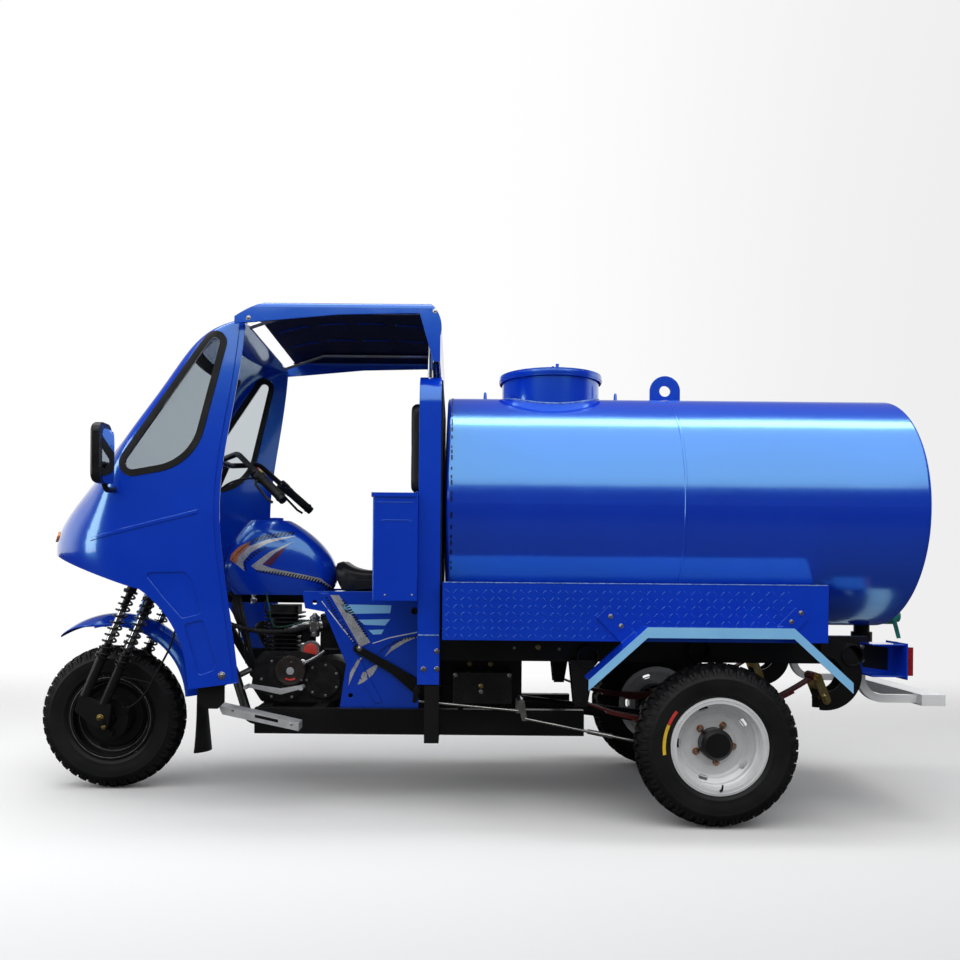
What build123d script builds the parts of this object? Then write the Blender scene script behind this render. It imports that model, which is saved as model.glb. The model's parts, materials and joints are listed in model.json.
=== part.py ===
from build123d import *
import math
import os

os.makedirs("parts", exist_ok=True)

# Water tanker tricycle, in millimetres.  +X points forward, +Y to the rider's left, +Z up.
# The origin is on the ground, under the middle of the whole machine.

# ---------------------------------------------------------------- driving dimensions
wheelbase = 2281
track = 980
rear_axle_x = -833
tyre_radius = 285
tyre_width = 132
tank_radius = 446
tank_length = 1698
tank_axis_z = 1122
tank_wall = 5
rail_half_spacing = 330
cab_half_width = 445
cab_wall_thickness = 8
rake_deg = 23.1

# ---------------------------------------------------------------- clearances
pin_clearance = 0.5
seat_gap = 0.3
moving_gap = 6

# ---------------------------------------------------------------- stations
front_axle_x = rear_axle_x + wheelbase
half_track = track / 2
tank_front_x = front_axle_x - 1347
tank_rear_x = tank_front_x - tank_length
headboard_x = tank_front_x + 34
rail_top_z = 655
rail_height = 100
rail_width = 50
rail_bottom_z = rail_top_z - rail_height
rail_rear_x = min(rear_axle_x - 590, tank_rear_x + 174)
rail_front_x = headboard_x


def lengthwise(y):
    """Vertical plane along the machine at this y: its x is +X, its y is +Z, its normal is -Y."""
    return Plane(origin=(0, y, 0), x_dir=(1, 0, 0), z_dir=(0, -1, 0))


def crosswise(x):
    """Vertical plane across the machine at this x: its x is +Y, its y is +Z, its normal is +X."""
    return Plane(origin=(x, 0, 0), x_dir=(0, 1, 0), z_dir=(1, 0, 0))


def level(z):
    """Horizontal plane at this height."""
    return Plane.XY.offset(z)


def block(x0, x1, y0, y1, z0, z1):
    """Plain rectangular bar between two corners."""
    low_corner = (Align.MIN, Align.MIN, Align.MIN)
    return Pos(x0, y0, z0) * Box(x1 - x0, y1 - y0, z1 - z0, align=low_corner, mode=Mode.PRIVATE)


def tube(points, radius, bend):
    """Round bar along straight runs joined by tangent bends."""
    with BuildPart() as bar:
        with BuildLine() as route:
            FilletPolyline(*points, radius=bend)
        with BuildSketch(Plane(origin=route.line @ 0, z_dir=route.line % 0)):
            Circle(radius)
        sweep()
    return bar.part


def rod(start, end, radius):
    """Straight round bar between two points."""
    run = Vector(*end) - Vector(*start)
    with BuildPart() as bar:
        with BuildSketch(Plane(origin=start, z_dir=run)):
            Circle(radius)
        extrude(amount=run.length)
    return bar.part


def held_cable(points, radius):
    """Cable along its route, each bend as wide as the two runs beside it allow."""
    runs = [Vector(*far) - Vector(*near) for near, far in zip(points, points[1:])]
    bends = []
    for before, after in zip(runs, runs[1:]):
        half_turn = math.radians(before.get_angle(after)) / 2
        bends.append(0.45 * min(before.length, after.length) / math.tan(half_turn))
    print("cable bend radii", [round(bend) for bend in bends])
    return tube(points, radius, bends)


def mirrored(solid):
    """The same solid on the other side of the machine."""
    return solid.mirror(Plane.XZ)


def prism(outline, y0, y1):
    """Side-view outline, as (x, z) corners, drawn out from y0 to y1."""
    with BuildPart() as body:
        with BuildSketch(lengthwise(y1)):
            with BuildLine():
                Polyline(*outline, close=True)
            make_face()
        extrude(amount=y1 - y0)
    return body.part


# ---------------------------------------------------------------- wheels
rim_flange_radius = 169
rim_bead_radius = 154
rim_half_width = 50
rim_sheet = 5
drop_depth = 10
drop_half_width = 14
disc_plate_radius = 112
hub_radius = 55
drum_radius = 92
drum_depth = 60
stub_radius = 17
front_pin_radius = 12
front_drum_radius = 86
front_hub_radius = 30
rear_disc_offset = -24
front_disc_offset = 0
rear_wheel_centre = Vector(rear_axle_x, half_track, tyre_radius)
front_wheel_centre = Vector(front_axle_x, 0, tyre_radius)


def turned(centre, outward):
    """Plane through the axle: its x is the radius, its y runs out along the axle."""
    return Plane(origin=centre, x_dir=(0, 0, outward), z_dir=(-1, 0, 0))


def make_tyre(centre):
    """Tyre as one ring with crown, shoulders and bulged side walls."""
    half = tyre_width / 2
    shoulder_radius = tyre_radius - 16
    shoulder = half - 12
    wall_radius = 0.5 * (rim_flange_radius + tyre_radius)
    bead_half = rim_half_width - seat_gap
    with BuildPart() as ring:
        with BuildSketch(turned(centre, 1)):
            with BuildLine():
                Polyline(
                    (rim_flange_radius, -bead_half), (rim_bead_radius, -bead_half),
                    (rim_bead_radius, bead_half), (rim_flange_radius, bead_half),
                )
                ThreePointArc((rim_flange_radius, bead_half), (wall_radius, half), (shoulder_radius, shoulder))
                ThreePointArc((shoulder_radius, shoulder), (tyre_radius, 0), (shoulder_radius, -shoulder))
                ThreePointArc((shoulder_radius, -shoulder), (wall_radius, -half), (rim_flange_radius, -bead_half))
            make_face()
        revolve(axis=Axis(centre, (0, 1, 0)))
    return ring.part


def make_rim(centre, outward, disc_offset, centre_hole):
    """Pressed steel rim: drop-centre barrel, dished disc and five hand holes."""
    bead = rim_bead_radius - seat_gap
    well = bead - drop_depth
    edge = rim_half_width + rim_sheet
    disc_root = disc_offset + 22
    with BuildPart() as wheel:
        with BuildSketch(turned(centre, outward)):
            with BuildLine():
                Polyline(
                    (rim_flange_radius, edge), (rim_flange_radius, rim_half_width),
                    (bead, rim_half_width), (bead, drop_half_width + drop_depth),
                    (well, drop_half_width), (well, -drop_half_width),
                    (bead, -drop_half_width - drop_depth), (bead, -rim_half_width),
                    (rim_flange_radius, -rim_half_width), (rim_flange_radius, -edge),
                    (bead - rim_sheet, -edge), (bead - rim_sheet, -drop_half_width - drop_depth),
                    (well - rim_sheet, -drop_half_width), (well - rim_sheet, drop_half_width),
                    (bead - rim_sheet, drop_half_width + drop_depth), (bead - rim_sheet, edge),
                    close=True,
                )
            make_face()
            with BuildLine():
                Polyline(
                    (centre_hole, disc_offset), (disc_plate_radius, disc_offset),
                    (well - 1, disc_root), (well - 1, disc_root - rim_sheet - 2),
                    (disc_plate_radius + 1, disc_offset - rim_sheet), (centre_hole, disc_offset - rim_sheet),
                    close=True,
                )
            make_face()
        revolve(axis=Axis(centre, (0, 1, 0)))
        with BuildSketch(Plane(origin=centre, x_dir=(1, 0, 0), z_dir=(0, -1, 0))):
            with PolarLocations(0.5 * (disc_plate_radius + well - rim_sheet), 5):
                SlotOverall(34, 16, rotation=90)
        extrude(amount=rim_half_width, both=True, mode=Mode.SUBTRACT)
    return wheel.part


def make_rear_hub(centre, outward):
    """Rear hub and brake drum: the nose passes through the disc, the drum opens inwards."""
    seat = rear_disc_offset - rim_sheet - seat_gap
    nose = rear_disc_offset + 56
    bore = stub_radius + pin_clearance
    with BuildPart() as hub:
        with BuildSketch(turned(centre, outward)):
            with BuildLine():
                Polyline(
                    (0, nose), (hub_radius - 12, nose), (hub_radius, nose - 12), (hub_radius, seat),
                    (drum_radius, seat), (drum_radius, seat - drum_depth),
                    (drum_radius - 8, seat - drum_depth), (drum_radius - 8, seat - 12),
                    (2 * stub_radius, seat - 12), (2 * stub_radius, seat - drum_depth + 8),
                    (bore, seat - drum_depth + 8), (bore, nose - 14), (0, nose - 14),
                    close=True,
                )
            make_face()
        revolve(axis=Axis(centre, (0, 1, 0)))
    return hub.part


rear_tyre = make_tyre(rear_wheel_centre)
rear_rim = make_rim(rear_wheel_centre, 1, rear_disc_offset, hub_radius + seat_gap)
rear_hub = make_rear_hub(rear_wheel_centre, 1)

rear_tyre.label = "rear_tyre_left"
export_step(rear_tyre, "parts/rear_tyre_left.step")
rear_rim.label = "rear_rim_left"
export_step(rear_rim, "parts/rear_rim_left.step")
rear_hub.label = "rear_hub_left"
export_step(rear_hub, "parts/rear_hub_left.step")

rear_tyre_right = mirrored(rear_tyre)
rear_rim_right = mirrored(rear_rim)
rear_hub_right = mirrored(rear_hub)
rear_tyre_right.label = "rear_tyre_right"
export_step(rear_tyre_right, "parts/rear_tyre_right.step")
rear_rim_right.label = "rear_rim_right"
export_step(rear_rim_right, "parts/rear_rim_right.step")
rear_hub_right.label = "rear_hub_right"
export_step(rear_hub_right, "parts/rear_hub_right.step")

front_tyre = make_tyre(front_wheel_centre)
front_rim = make_rim(front_wheel_centre, 1, front_disc_offset, front_hub_radius + seat_gap)
front_tyre.label = "front_tyre"
export_step(front_tyre, "parts/front_tyre.step")
front_rim.label = "front_rim"
export_step(front_rim, "parts/front_rim.step")

strut_radius = 13
fork_leg_y = 130
fork_leg_radius = strut_radius + 6
leg_inner_y = fork_leg_y - fork_leg_radius - 8
with BuildPart() as front_hub:
    with BuildSketch(turned(front_wheel_centre, 1)):
        with BuildLine():
            Polyline(
                (front_pin_radius + pin_clearance, leg_inner_y - moving_gap),
                (front_hub_radius, leg_inner_y - moving_gap),
                (front_hub_radius, 74), (front_drum_radius, 66),
                (front_drum_radius, front_disc_offset + seat_gap),
                (front_hub_radius, front_disc_offset + seat_gap),
                (front_hub_radius, -leg_inner_y + moving_gap),
                (front_pin_radius + pin_clearance, -leg_inner_y + moving_gap),
                close=True,
            )
        make_face()
    revolve(axis=Axis(front_wheel_centre, (0, 1, 0)))
front_hub.part.label = "front_hub"
export_step(front_hub.part, "parts/front_hub.step")

# ---------------------------------------------------------------- fork and steering
rake = math.radians(rake_deg)
fork_up = Vector(-math.sin(rake), 0, math.cos(rake))
fork_ahead = Vector(math.cos(rake), 0, math.sin(rake))
rear_strut_offset = 22
strut_pitch = 80
lower_clamp_at = 590
upper_clamp_at = 860
clamp_thickness = 26
handlebar_at = 1110
stem_radius = 14
spring_from = 232
spring_to = 502
spring_wire = 4
spring_coils = 10
spring_coil_radius = fork_leg_radius + seat_gap + spring_wire
collar_length = 26
head_tube_radius = 27
bar_radius = 11


def on_fork(along, ahead, y):
    """Point measured up the steering axis and ahead of it, from the front axle."""
    return front_wheel_centre + fork_up * along + fork_ahead * ahead + Vector(0, y, 0)


def across_fork(along):
    """Plane square to the steering axis: its x points ahead, its y to the left."""
    return Plane(origin=on_fork(along, 0, 0), x_dir=fork_ahead, z_dir=fork_up)


yoke_eye_radius = strut_radius + 10
yoke_boss_radius = 30
strut_offsets = [rear_strut_offset, rear_strut_offset + strut_pitch]
strut_places = [(ahead, y) for ahead in strut_offsets for y in (-fork_leg_y, fork_leg_y)]
front_axle_pin = rod(
    (front_axle_x, -fork_leg_y - 22, tyre_radius), (front_axle_x, fork_leg_y + 22, tyre_radius),
    front_pin_radius,
)
fork_blocks = []
for side_y in (-fork_leg_y, fork_leg_y):
    with BuildPart() as fork_block:
        with BuildSketch(lengthwise(side_y + 15)):
            with BuildLine():
                Polyline(
                    (front_axle_x - 26, tyre_radius - 24), (front_axle_x + 26, tyre_radius - 24),
                    (front_axle_x + 106, tyre_radius + 40), (front_axle_x + 84, tyre_radius + 104),
                    (front_axle_x - 38, tyre_radius + 62),
                    close=True,
                )
            make_face()
        extrude(amount=30)
        fillet(fork_block.edges().filter_by(Axis.Y), 10)
    fork_blocks.append(fork_block.part)
fork_struts = []
for ahead, y in strut_places:
    fork_struts += [
        rod(on_fork(60, ahead, y), on_fork(spring_from + 40, ahead, y), fork_leg_radius),
        rod(on_fork(spring_from - 8, ahead, y), on_fork(spring_from, ahead, y), spring_coil_radius + spring_wire),
        rod(on_fork(spring_from, ahead, y), on_fork(upper_clamp_at + 20, ahead, y), strut_radius),
        rod(on_fork(spring_to, ahead, y), on_fork(spring_to + 6, ahead, y), spring_coil_radius + spring_wire),
        rod(on_fork(spring_to, ahead, y), on_fork(spring_to + collar_length, ahead, y), fork_leg_radius),
    ]

# The front brake cable: from a stop on the back plate through a wire ring and up to the left hand perch.
cable_radius = 4
cable_stop = front_wheel_centre + Vector(-88, 104, 45)
cable_way = [
    (-132, 110, 75), (-169, 121, 117), (-198, 131, 170), (-234, 138, 234), (-267, 144, 295), (-288, 149, 365),
    (-294, 153, 450), (-305, 152, 545), (-329, 149, 640), (-358, 147, 730), (-390, 150, 813), (-436, 169, 880),
    (-500, 205, 923),
]
cable_points = [front_wheel_centre + Vector(*place) for place in cable_way]
cable_foot_run = (cable_points[0] - cable_stop).normalized()
guide_ring = cable_points[1] + (cable_points[2] - cable_points[1]) * 0.6
guide_run = (cable_points[2] - cable_points[1]).normalized()
guide_foot = on_fork(183, rear_strut_offset, fork_leg_y)
ring_radius = cable_radius + 4
cam_end = (front_axle_x + 22, tyre_radius - 18)

# The front brake's back plate stands still round the hub's nose, held by a stay from the left fork block.
brake_plate_y = 74 + moving_gap
with BuildPart() as brake_plate:
    with BuildSketch(turned(front_wheel_centre, 1)):
        with BuildLine():
            Polyline(
                (front_hub_radius + moving_gap, brake_plate_y), (front_drum_radius - 3, brake_plate_y),
                (front_drum_radius - 3, brake_plate_y + 4), (front_hub_radius + moving_gap, brake_plate_y + 8),
                close=True,
            )
        make_face()
    revolve(axis=Axis(front_wheel_centre, (0, 1, 0)))
    for stay_x, stay_z in ((front_axle_x + 40, tyre_radius + 36), (front_axle_x - 20, tyre_radius + 46)):
        add(rod((stay_x, brake_plate_y + 2, stay_z), (stay_x, fork_leg_y, stay_z), 8))
    cam_x = front_axle_x - 20
    cam_z = tyre_radius - 58
    add(rod((cam_x, brake_plate_y + 2, cam_z), (cam_x, brake_plate_y + 30, cam_z), 9))
    with BuildSketch(lengthwise(brake_plate_y + 27)):
        with Locations((cam_x, cam_z)):
            Circle(10)
        with Locations(cam_end):
            Circle(7)
        make_hull()
    extrude(amount=7)
    add(rod((cam_end[0], brake_plate_y + 20, cam_end[1]), (cam_end[0], brake_plate_y + 36, cam_end[1]), 5))
    with BuildSketch(lengthwise(brake_plate_y + 6)):
        with BuildLine():
            Polyline(
                (cable_stop.X - 8, cable_stop.Z + 8), (cable_stop.X - 8, cable_stop.Z - 8),
                (front_axle_x - 66, tyre_radius + 10), (front_axle_x - 56, tyre_radius + 46), close=True,
            )
        make_face()
    extrude(amount=6)
    add(rod(
        (cable_stop.X, brake_plate_y + 2, cable_stop.Z), (cable_stop.X, cable_stop.Y + 2, cable_stop.Z), 7
    ))
    add(rod(cable_stop, cable_stop + cable_foot_run * 12, 7))
    add(rod(cable_stop, (cam_end[0], cable_stop.Y, cam_end[1]), 2))
    add(rod(guide_foot, guide_ring - (guide_ring - guide_foot).normalized() * ring_radius, 2.5))
    add(Plane(origin=guide_ring, z_dir=guide_run).location * Torus(ring_radius, 2.5, mode=Mode.PRIVATE))
with BuildPart() as fork:
    add(front_axle_pin)
    add(fork_blocks)
    add(fork_struts)
    add(brake_plate.part)
fork.part.label = "fork"
export_step(fork.part, "parts/fork.step")

# Each fork spring is one helical wire between its lower and its upper seat.
spring_coil_height = spring_to - spring_from - 2 * spring_wire - 2 * seat_gap
coil_pitch = spring_coil_height / spring_coils
with BuildPart() as coil:
    with BuildLine() as coil_line:
        Helix(coil_pitch, spring_coil_height, spring_coil_radius)
    with BuildSketch(Plane(origin=coil_line.line @ 0, z_dir=coil_line.line % 0)):
        Circle(spring_wire)
    sweep()
with BuildPart() as fork_springs:
    for strut_ahead, strut_y in strut_places:
        foot = on_fork(spring_from + seat_gap + spring_wire, strut_ahead, strut_y)
        add(Plane(origin=foot, x_dir=fork_ahead, z_dir=fork_up).location * coil.part)
fork_springs.part.label = "fork_springs"
export_step(fork_springs.part, "parts/fork_springs.step")

with BuildPart() as fork_clamps:
    for clamp_at in (lower_clamp_at, upper_clamp_at):
        with BuildSketch(across_fork(clamp_at - clamp_thickness / 2)):
            with Locations(*strut_places):
                Circle(yoke_eye_radius)
            Circle(yoke_boss_radius)
            make_hull()
            with Locations(*strut_places):
                Circle(strut_radius + seat_gap, mode=Mode.SUBTRACT)
        extrude(amount=clamp_thickness)
    with BuildSketch(across_fork(lower_clamp_at)):
        Circle(stem_radius)
    extrude(amount=upper_clamp_at - lower_clamp_at)
    with BuildSketch(across_fork(upper_clamp_at)):
        with Locations((0, -32), (0, 32)):
            Circle(13)
    extrude(amount=handlebar_at - upper_clamp_at - bar_radius - seat_gap)
fork_clamps.part.label = "fork_clamps"
export_step(fork_clamps.part, "parts/fork_clamps.step")

grip_radius = 17
bar_centre = on_fork(handlebar_at, 0, 0)
bar_half_width = 312
grip_length = 115
bar_half = [
    (bar_centre.X, -1, bar_centre.Z),
    (bar_centre.X, 90, bar_centre.Z),
    (bar_centre.X - 95, 190, bar_centre.Z + 16),
    (bar_centre.X - 290, bar_half_width, bar_centre.Z - 165),
]
bar_left = tube(bar_half, bar_radius, 45)
grip_end = Vector(*bar_half[-1])
grip_run = (grip_end - Vector(*bar_half[-2])).normalized()
grip_left = rod(grip_end - grip_run * grip_length, grip_end + grip_run * 8, grip_radius)

# Beside each grip a perch holds the lever; the left one also ends the brake cable.
perch_radius = 19
perch_from = grip_end - grip_run * (grip_length + 34)
perch_middle = grip_end - grip_run * (grip_length + 17)
cable_head_run = Vector(0.96, -0.28, 0)
cable_head = perch_middle + cable_head_run * 30
lever_front = Vector(0.62, 0.2, -0.2)
lever_blade = tube(
    [
        perch_middle, perch_middle + lever_front * 52 + grip_run * 12,
        grip_end + lever_front * 66 - grip_run * 20, grip_end + lever_front * 58 + grip_run * 4,
    ],
    5, [14, 30],
)
with BuildPart() as handlebar:
    add(bar_left)
    add(grip_left)
    add(rod(perch_from, grip_end - grip_run * (grip_length - 2), perch_radius))
    add(lever_blade)
    mirror(about=Plane.XZ)
    add(rod(perch_middle, cable_head, 6))
handlebar.part.label = "handlebar"
export_step(handlebar.part, "parts/handlebar.step")

brake_cable = held_cable(
    [
        tuple(point) for point in [
            cable_stop + cable_foot_run * (12 + seat_gap), *cable_points,
            cable_head + cable_head_run * 50, cable_head + cable_head_run * seat_gap,
        ]
    ],
    cable_radius,
)
brake_cable.label = "brake_cable"
export_step(brake_cable, "parts/brake_cable.step")

fender_half_width = 84
fender_sheet = 3
fender_crown = 40
fender_skirt = 10
fender_nose_length = 250
fender_tip = (front_axle_x + 225, 600)
fender_top = (front_axle_x - 10, 700)
fender_tail = (front_axle_x - 356, 378)
fender_arc = ThreePointArc(fender_tip, fender_top, fender_tail)
fender_middle = fender_arc.arc_center
fender_radius = fender_arc.radius


def angle_round_fender(point):
    """Direction from the fender's middle to a side-view point, in degrees."""
    return math.degrees(math.atan2(point[1] - fender_middle.Y, point[0] - fender_middle.X))


def fender_body(inset, overrun):
    """Filled form under the fender's sheet, pulled in by the inset and run on past both ends by an angle."""
    first = math.radians(angle_round_fender(fender_tip) - overrun)
    sweep_angle = angle_round_fender(fender_tail) + 2 * overrun - angle_round_fender(fender_tip)
    start = Plane(
        origin=(fender_middle.X, 0, fender_middle.Y), x_dir=(math.cos(first), 0, math.sin(first)),
        z_dir=(math.sin(first), 0, -math.cos(first)),
    )
    edge = fender_half_width - inset
    shoulder = fender_radius - fender_crown - inset
    skirt_end = fender_radius - fender_crown - fender_skirt - 2 * inset
    with BuildPart() as body:
        with BuildSketch(start):
            with BuildLine():
                ThreePointArc((shoulder, -edge), (fender_radius - inset, 0), (shoulder, edge))
                Polyline((shoulder, edge), (skirt_end, edge), (skirt_end, -edge), (shoulder, -edge))
            make_face()
        revolve(axis=Axis((fender_middle.X, 0, fender_middle.Y), (0, -1, 0)), revolution_arc=sweep_angle)
    return body.part


# The fender's front is trimmed to a rounded point in plan.
with BuildPart() as fender_sheet_metal:
    add(fender_body(0, 0))
    add(fender_body(fender_sheet, 4), mode=Mode.SUBTRACT)
    with BuildSketch(level(0)):
        with BuildLine():
            nose_x = fender_tip[0] - 4
            back_x = nose_x - fender_nose_length
            trim_y = fender_half_width + 1
            Spline(
                (back_x, trim_y), (nose_x - 0.30 * fender_nose_length, 0.66 * fender_half_width), (nose_x, 0),
                (nose_x - 0.30 * fender_nose_length, -0.66 * fender_half_width), (back_x, -trim_y),
                tangents=[(1, 0), (-1, 0)],
            )
            far_x = fender_tail[0] - 60
            Polyline((back_x, -trim_y), (far_x, -trim_y), (far_x, trim_y), (back_x, trim_y))
        make_face()
    extrude(amount=1000, mode=Mode.INTERSECT)
stay_ahead = rear_strut_offset + strut_pitch / 2
stay_top_at = lower_clamp_at - clamp_thickness / 2 - seat_gap
stay_y = 45
stay_radius = 9
stay_bottom_at = 330
fender_stays = [
    rod(on_fork(stay_bottom_at, stay_ahead, y), on_fork(stay_top_at, stay_ahead, y), stay_radius)
    for y in (-stay_y, stay_y)
]
crown_circle = (fender_half_width ** 2 + fender_crown ** 2) / (2 * fender_crown)
stay_drop = crown_circle - math.sqrt(crown_circle ** 2 - (stay_y + stay_radius) ** 2)
with BuildPart() as fender_inside:
    with BuildSketch(lengthwise(fender_half_width)):
        with Locations(fender_middle):
            Circle(fender_radius - fender_sheet - stay_drop)
    extrude(amount=2 * fender_half_width)
with BuildPart() as fender_mounts:
    add(fender_stays)
    add(fender_inside.part, mode=Mode.SUBTRACT)
with BuildPart() as front_fender:
    add(fender_sheet_metal.part)
    add(fender_mounts.part)
front_fender.part.label = "front_fender"
export_step(front_fender.part, "parts/front_fender.step")

flap_rubber = 5
flap_top_z = 398
flap_bottom_z = 150
flap_bow = 46
flap_half_width = 74
flap_lean = 26
flap_x = fender_tail[0] - 7
with BuildPart() as mud_flap:
    with BuildSketch(level(flap_bottom_z)):
        with BuildLine():
            bow_x = flap_x - flap_lean
            ThreePointArc((bow_x + flap_bow, -flap_half_width), (bow_x, 0), (bow_x + flap_bow, flap_half_width))
            ThreePointArc(
                (bow_x + flap_bow + flap_rubber, -flap_half_width), (bow_x + flap_rubber, 0),
                (bow_x + flap_bow + flap_rubber, flap_half_width),
            )
            for side_y in (-flap_half_width, flap_half_width):
                Line((bow_x + flap_bow, side_y), (bow_x + flap_bow + flap_rubber, side_y))
        make_face()
    extrude(amount=flap_top_z - flap_bottom_z, dir=(flap_lean, 0, flap_top_z - flap_bottom_z))
    with BuildSketch(crosswise(flap_x - 100)):
        with BuildLine():
            Polyline(
                (-0.66 * flap_half_width, flap_top_z + 1), (0.66 * flap_half_width, flap_top_z + 1),
                (flap_half_width, flap_bottom_z), (-flap_half_width, flap_bottom_z), close=True,
            )
        make_face()
    extrude(amount=300, mode=Mode.INTERSECT)
    add(fender_body(-seat_gap, 0), mode=Mode.SUBTRACT)
mud_flap.part.label = "mud_flap"
export_step(mud_flap.part, "parts/mud_flap.step")

# ---------------------------------------------------------------- roof
roof_sheet = 5
roof_half_width = 452
roof_front_z = 1776
roof_crown_z = 1862
roof_edge_z = 1829
roof_rear_x = headboard_x + 6
roof_front_x = front_axle_x - 578
roof_drop_z = 1622


def roof_block(inset, front_x):
    """Closed body under the roof's skin: a side profile crossed with an arched section."""
    with BuildPart() as body:
        with BuildSketch(lengthwise(roof_half_width - inset)):
            with BuildLine():
                Spline(
                    (front_x, roof_front_z - inset), (roof_front_x - 110, roof_front_z + 54 - inset),
                    (0.5 * (roof_front_x + roof_rear_x), roof_crown_z - inset),
                    (roof_rear_x + 70, roof_crown_z - 14 - inset),
                )
                ThreePointArc(
                    (roof_rear_x + 70, roof_crown_z - 14 - inset),
                    (roof_rear_x + 18 + inset, roof_crown_z - 52), (roof_rear_x + inset, roof_crown_z - 150),
                )
                Polyline(
                    (roof_rear_x + inset, roof_crown_z - 150), (roof_rear_x + inset, roof_drop_z - 2 * inset),
                    (front_x, roof_drop_z - 2 * inset), (front_x, roof_front_z - inset),
                )
            make_face()
        extrude(amount=2 * (roof_half_width - inset))
        with BuildSketch(crosswise(roof_rear_x - 20)):
            with BuildLine():
                edge = roof_half_width - inset
                top_z = roof_edge_z - inset
                ThreePointArc((-edge + 24, top_z), (0, roof_crown_z - inset), (edge - 24, top_z))
                ThreePointArc((edge - 24, top_z), (edge - 5, top_z - 8), (edge, roof_edge_z - 26))
                Polyline(
                    (edge, roof_edge_z - 26), (edge, roof_drop_z - 40), (-edge, roof_drop_z - 40),
                    (-edge, roof_edge_z - 26),
                )
                ThreePointArc((-edge, roof_edge_z - 26), (-edge + 5, top_z - 8), (-edge + 24, top_z))
            make_face()
        extrude(amount=front_x - roof_rear_x + 40, mode=Mode.INTERSECT)
    return body.part


roof_skirt_line = [
    (roof_front_x + 60, roof_front_z - 30), (roof_front_x - 90, roof_front_z - 18),
    (0.5 * (roof_front_x + roof_rear_x), roof_front_z + 8), (roof_rear_x + 74, roof_front_z + 16),
    (roof_rear_x + 24, roof_drop_z), (roof_rear_x + 24, roof_drop_z - 60),
    (roof_front_x + 60, roof_drop_z - 60),
]
roof_pad_depth = 4
roof_pad_width = 150
roof_pad_rows = [roof_rear_x + 130 + 152 * row for row in range(4)]
roof_hollow = roof_block(roof_sheet, roof_front_x + 30)
with BuildPart() as roof_pads:
    with BuildSketch(level(roof_drop_z)):
        for pad_x in roof_pad_rows:
            with Locations(*[(pad_x, pad_y) for pad_y in (-245, 0, 245)]):
                RectangleRounded(118, roof_pad_width, 14)
    extrude(amount=roof_crown_z - roof_drop_z)
    add(roof_hollow, mode=Mode.INTERSECT)
    add(roof_block(roof_sheet + roof_pad_depth, roof_front_x + 30), mode=Mode.SUBTRACT)
    with BuildSketch(level(roof_drop_z)):
        Rectangle(4000, 4000)
    extrude(amount=80, mode=Mode.SUBTRACT)
with BuildPart() as roof:
    add(roof_block(0, roof_front_x))
    add(roof_hollow, mode=Mode.SUBTRACT)
    add(roof_pads.part)
    add(prism(roof_skirt_line, -roof_half_width - 10, roof_half_width + 10), mode=Mode.SUBTRACT)
roof.part.label = "roof"
export_step(roof.part, "parts/roof.step")

# ---------------------------------------------------------------- cab fairing and windows
cab_rear_x = front_axle_x - 608
cab_top_z = roof_front_z - roof_sheet - seat_gap
cab_bottom_z = 452
cab_tail_x = cab_rear_x - 90
nose_tip_x = front_axle_x + 185

# Each station is (height, shoulder x, nose x, share of the half width), x from the front axle.
cab_stations = [
    (430, -330, 60, 0.985),
    (800, -260, 120, 0.995),
    (990, -230, 185, 1.0),
    (1200, -200, 25, 0.99),
    (1480, -330, -205, 0.965),
    (1680, -470, -345, 0.945),
    (cab_top_z, -610, -470, 0.935),
]


def cab_form(inset, top_drop):
    """Closed body of the fairing, pulled in by the inset, its top lowered by the drop.

    The left half is lofted and mirrored, so that both sides are alike."""
    with BuildPart() as form:
        for height, shoulder, nose, share in cab_stations:
            drop = top_drop if height == cab_top_z else 0
            half = cab_half_width * share - inset
            shoulder_x = front_axle_x + shoulder
            nose_x = front_axle_x + nose - inset
            corner_x = shoulder_x + 0.62 * (nose_x - shoulder_x)
            with BuildSketch(level(height - drop)):
                with BuildLine():
                    Polyline((nose_x, 0), (cab_tail_x, 0), (cab_tail_x, half), (shoulder_x, half))
                    Spline((shoulder_x, half), (corner_x, 0.8 * half), (nose_x, 0), tangents=[(1, 0), (0, -1)])
                make_face()
        loft()
        mirror(about=Plane.XZ)
    return form.part


with BuildPart() as cab_wall:
    add(cab_form(0, 0))
    add(cab_form(cab_wall_thickness, cab_wall_thickness), mode=Mode.SUBTRACT)


def cab_rear_edge(shift):
    """Side-view line of the fairing's rear edge, moved forward by the shift."""
    return Spline(
        (front_axle_x - 598 + shift, cab_bottom_z + 24), (front_axle_x - 556 + shift, 800),
        (front_axle_x - 528 + shift, 1130), (front_axle_x - 572 + shift, 1477),
        (cab_rear_x + shift, cab_top_z - 20),
    )


with BuildPart() as cab_side:
    with BuildSketch(lengthwise(cab_half_width + 20)):
        with BuildLine():
            cab_rear_edge(0)
            Polyline(
                (cab_rear_x, cab_top_z - 20), (cab_rear_x, cab_top_z + 40), (front_axle_x + 300, cab_top_z + 40),
                (front_axle_x + 300, 950), (front_axle_x + 150, 930), (front_axle_x - 190, 822),
                (front_axle_x - 246, 807),
            )
            ThreePointArc(
                (front_axle_x - 246, 807), (front_axle_x - 362, 679), (front_axle_x - 412, 524)
            )
            Polyline(
                (front_axle_x - 412, 524), (front_axle_x - 422, cab_bottom_z),
                (front_axle_x - 598, cab_bottom_z + 24),
            )
        make_face()
    extrude(amount=2 * (cab_half_width + 20))

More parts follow.
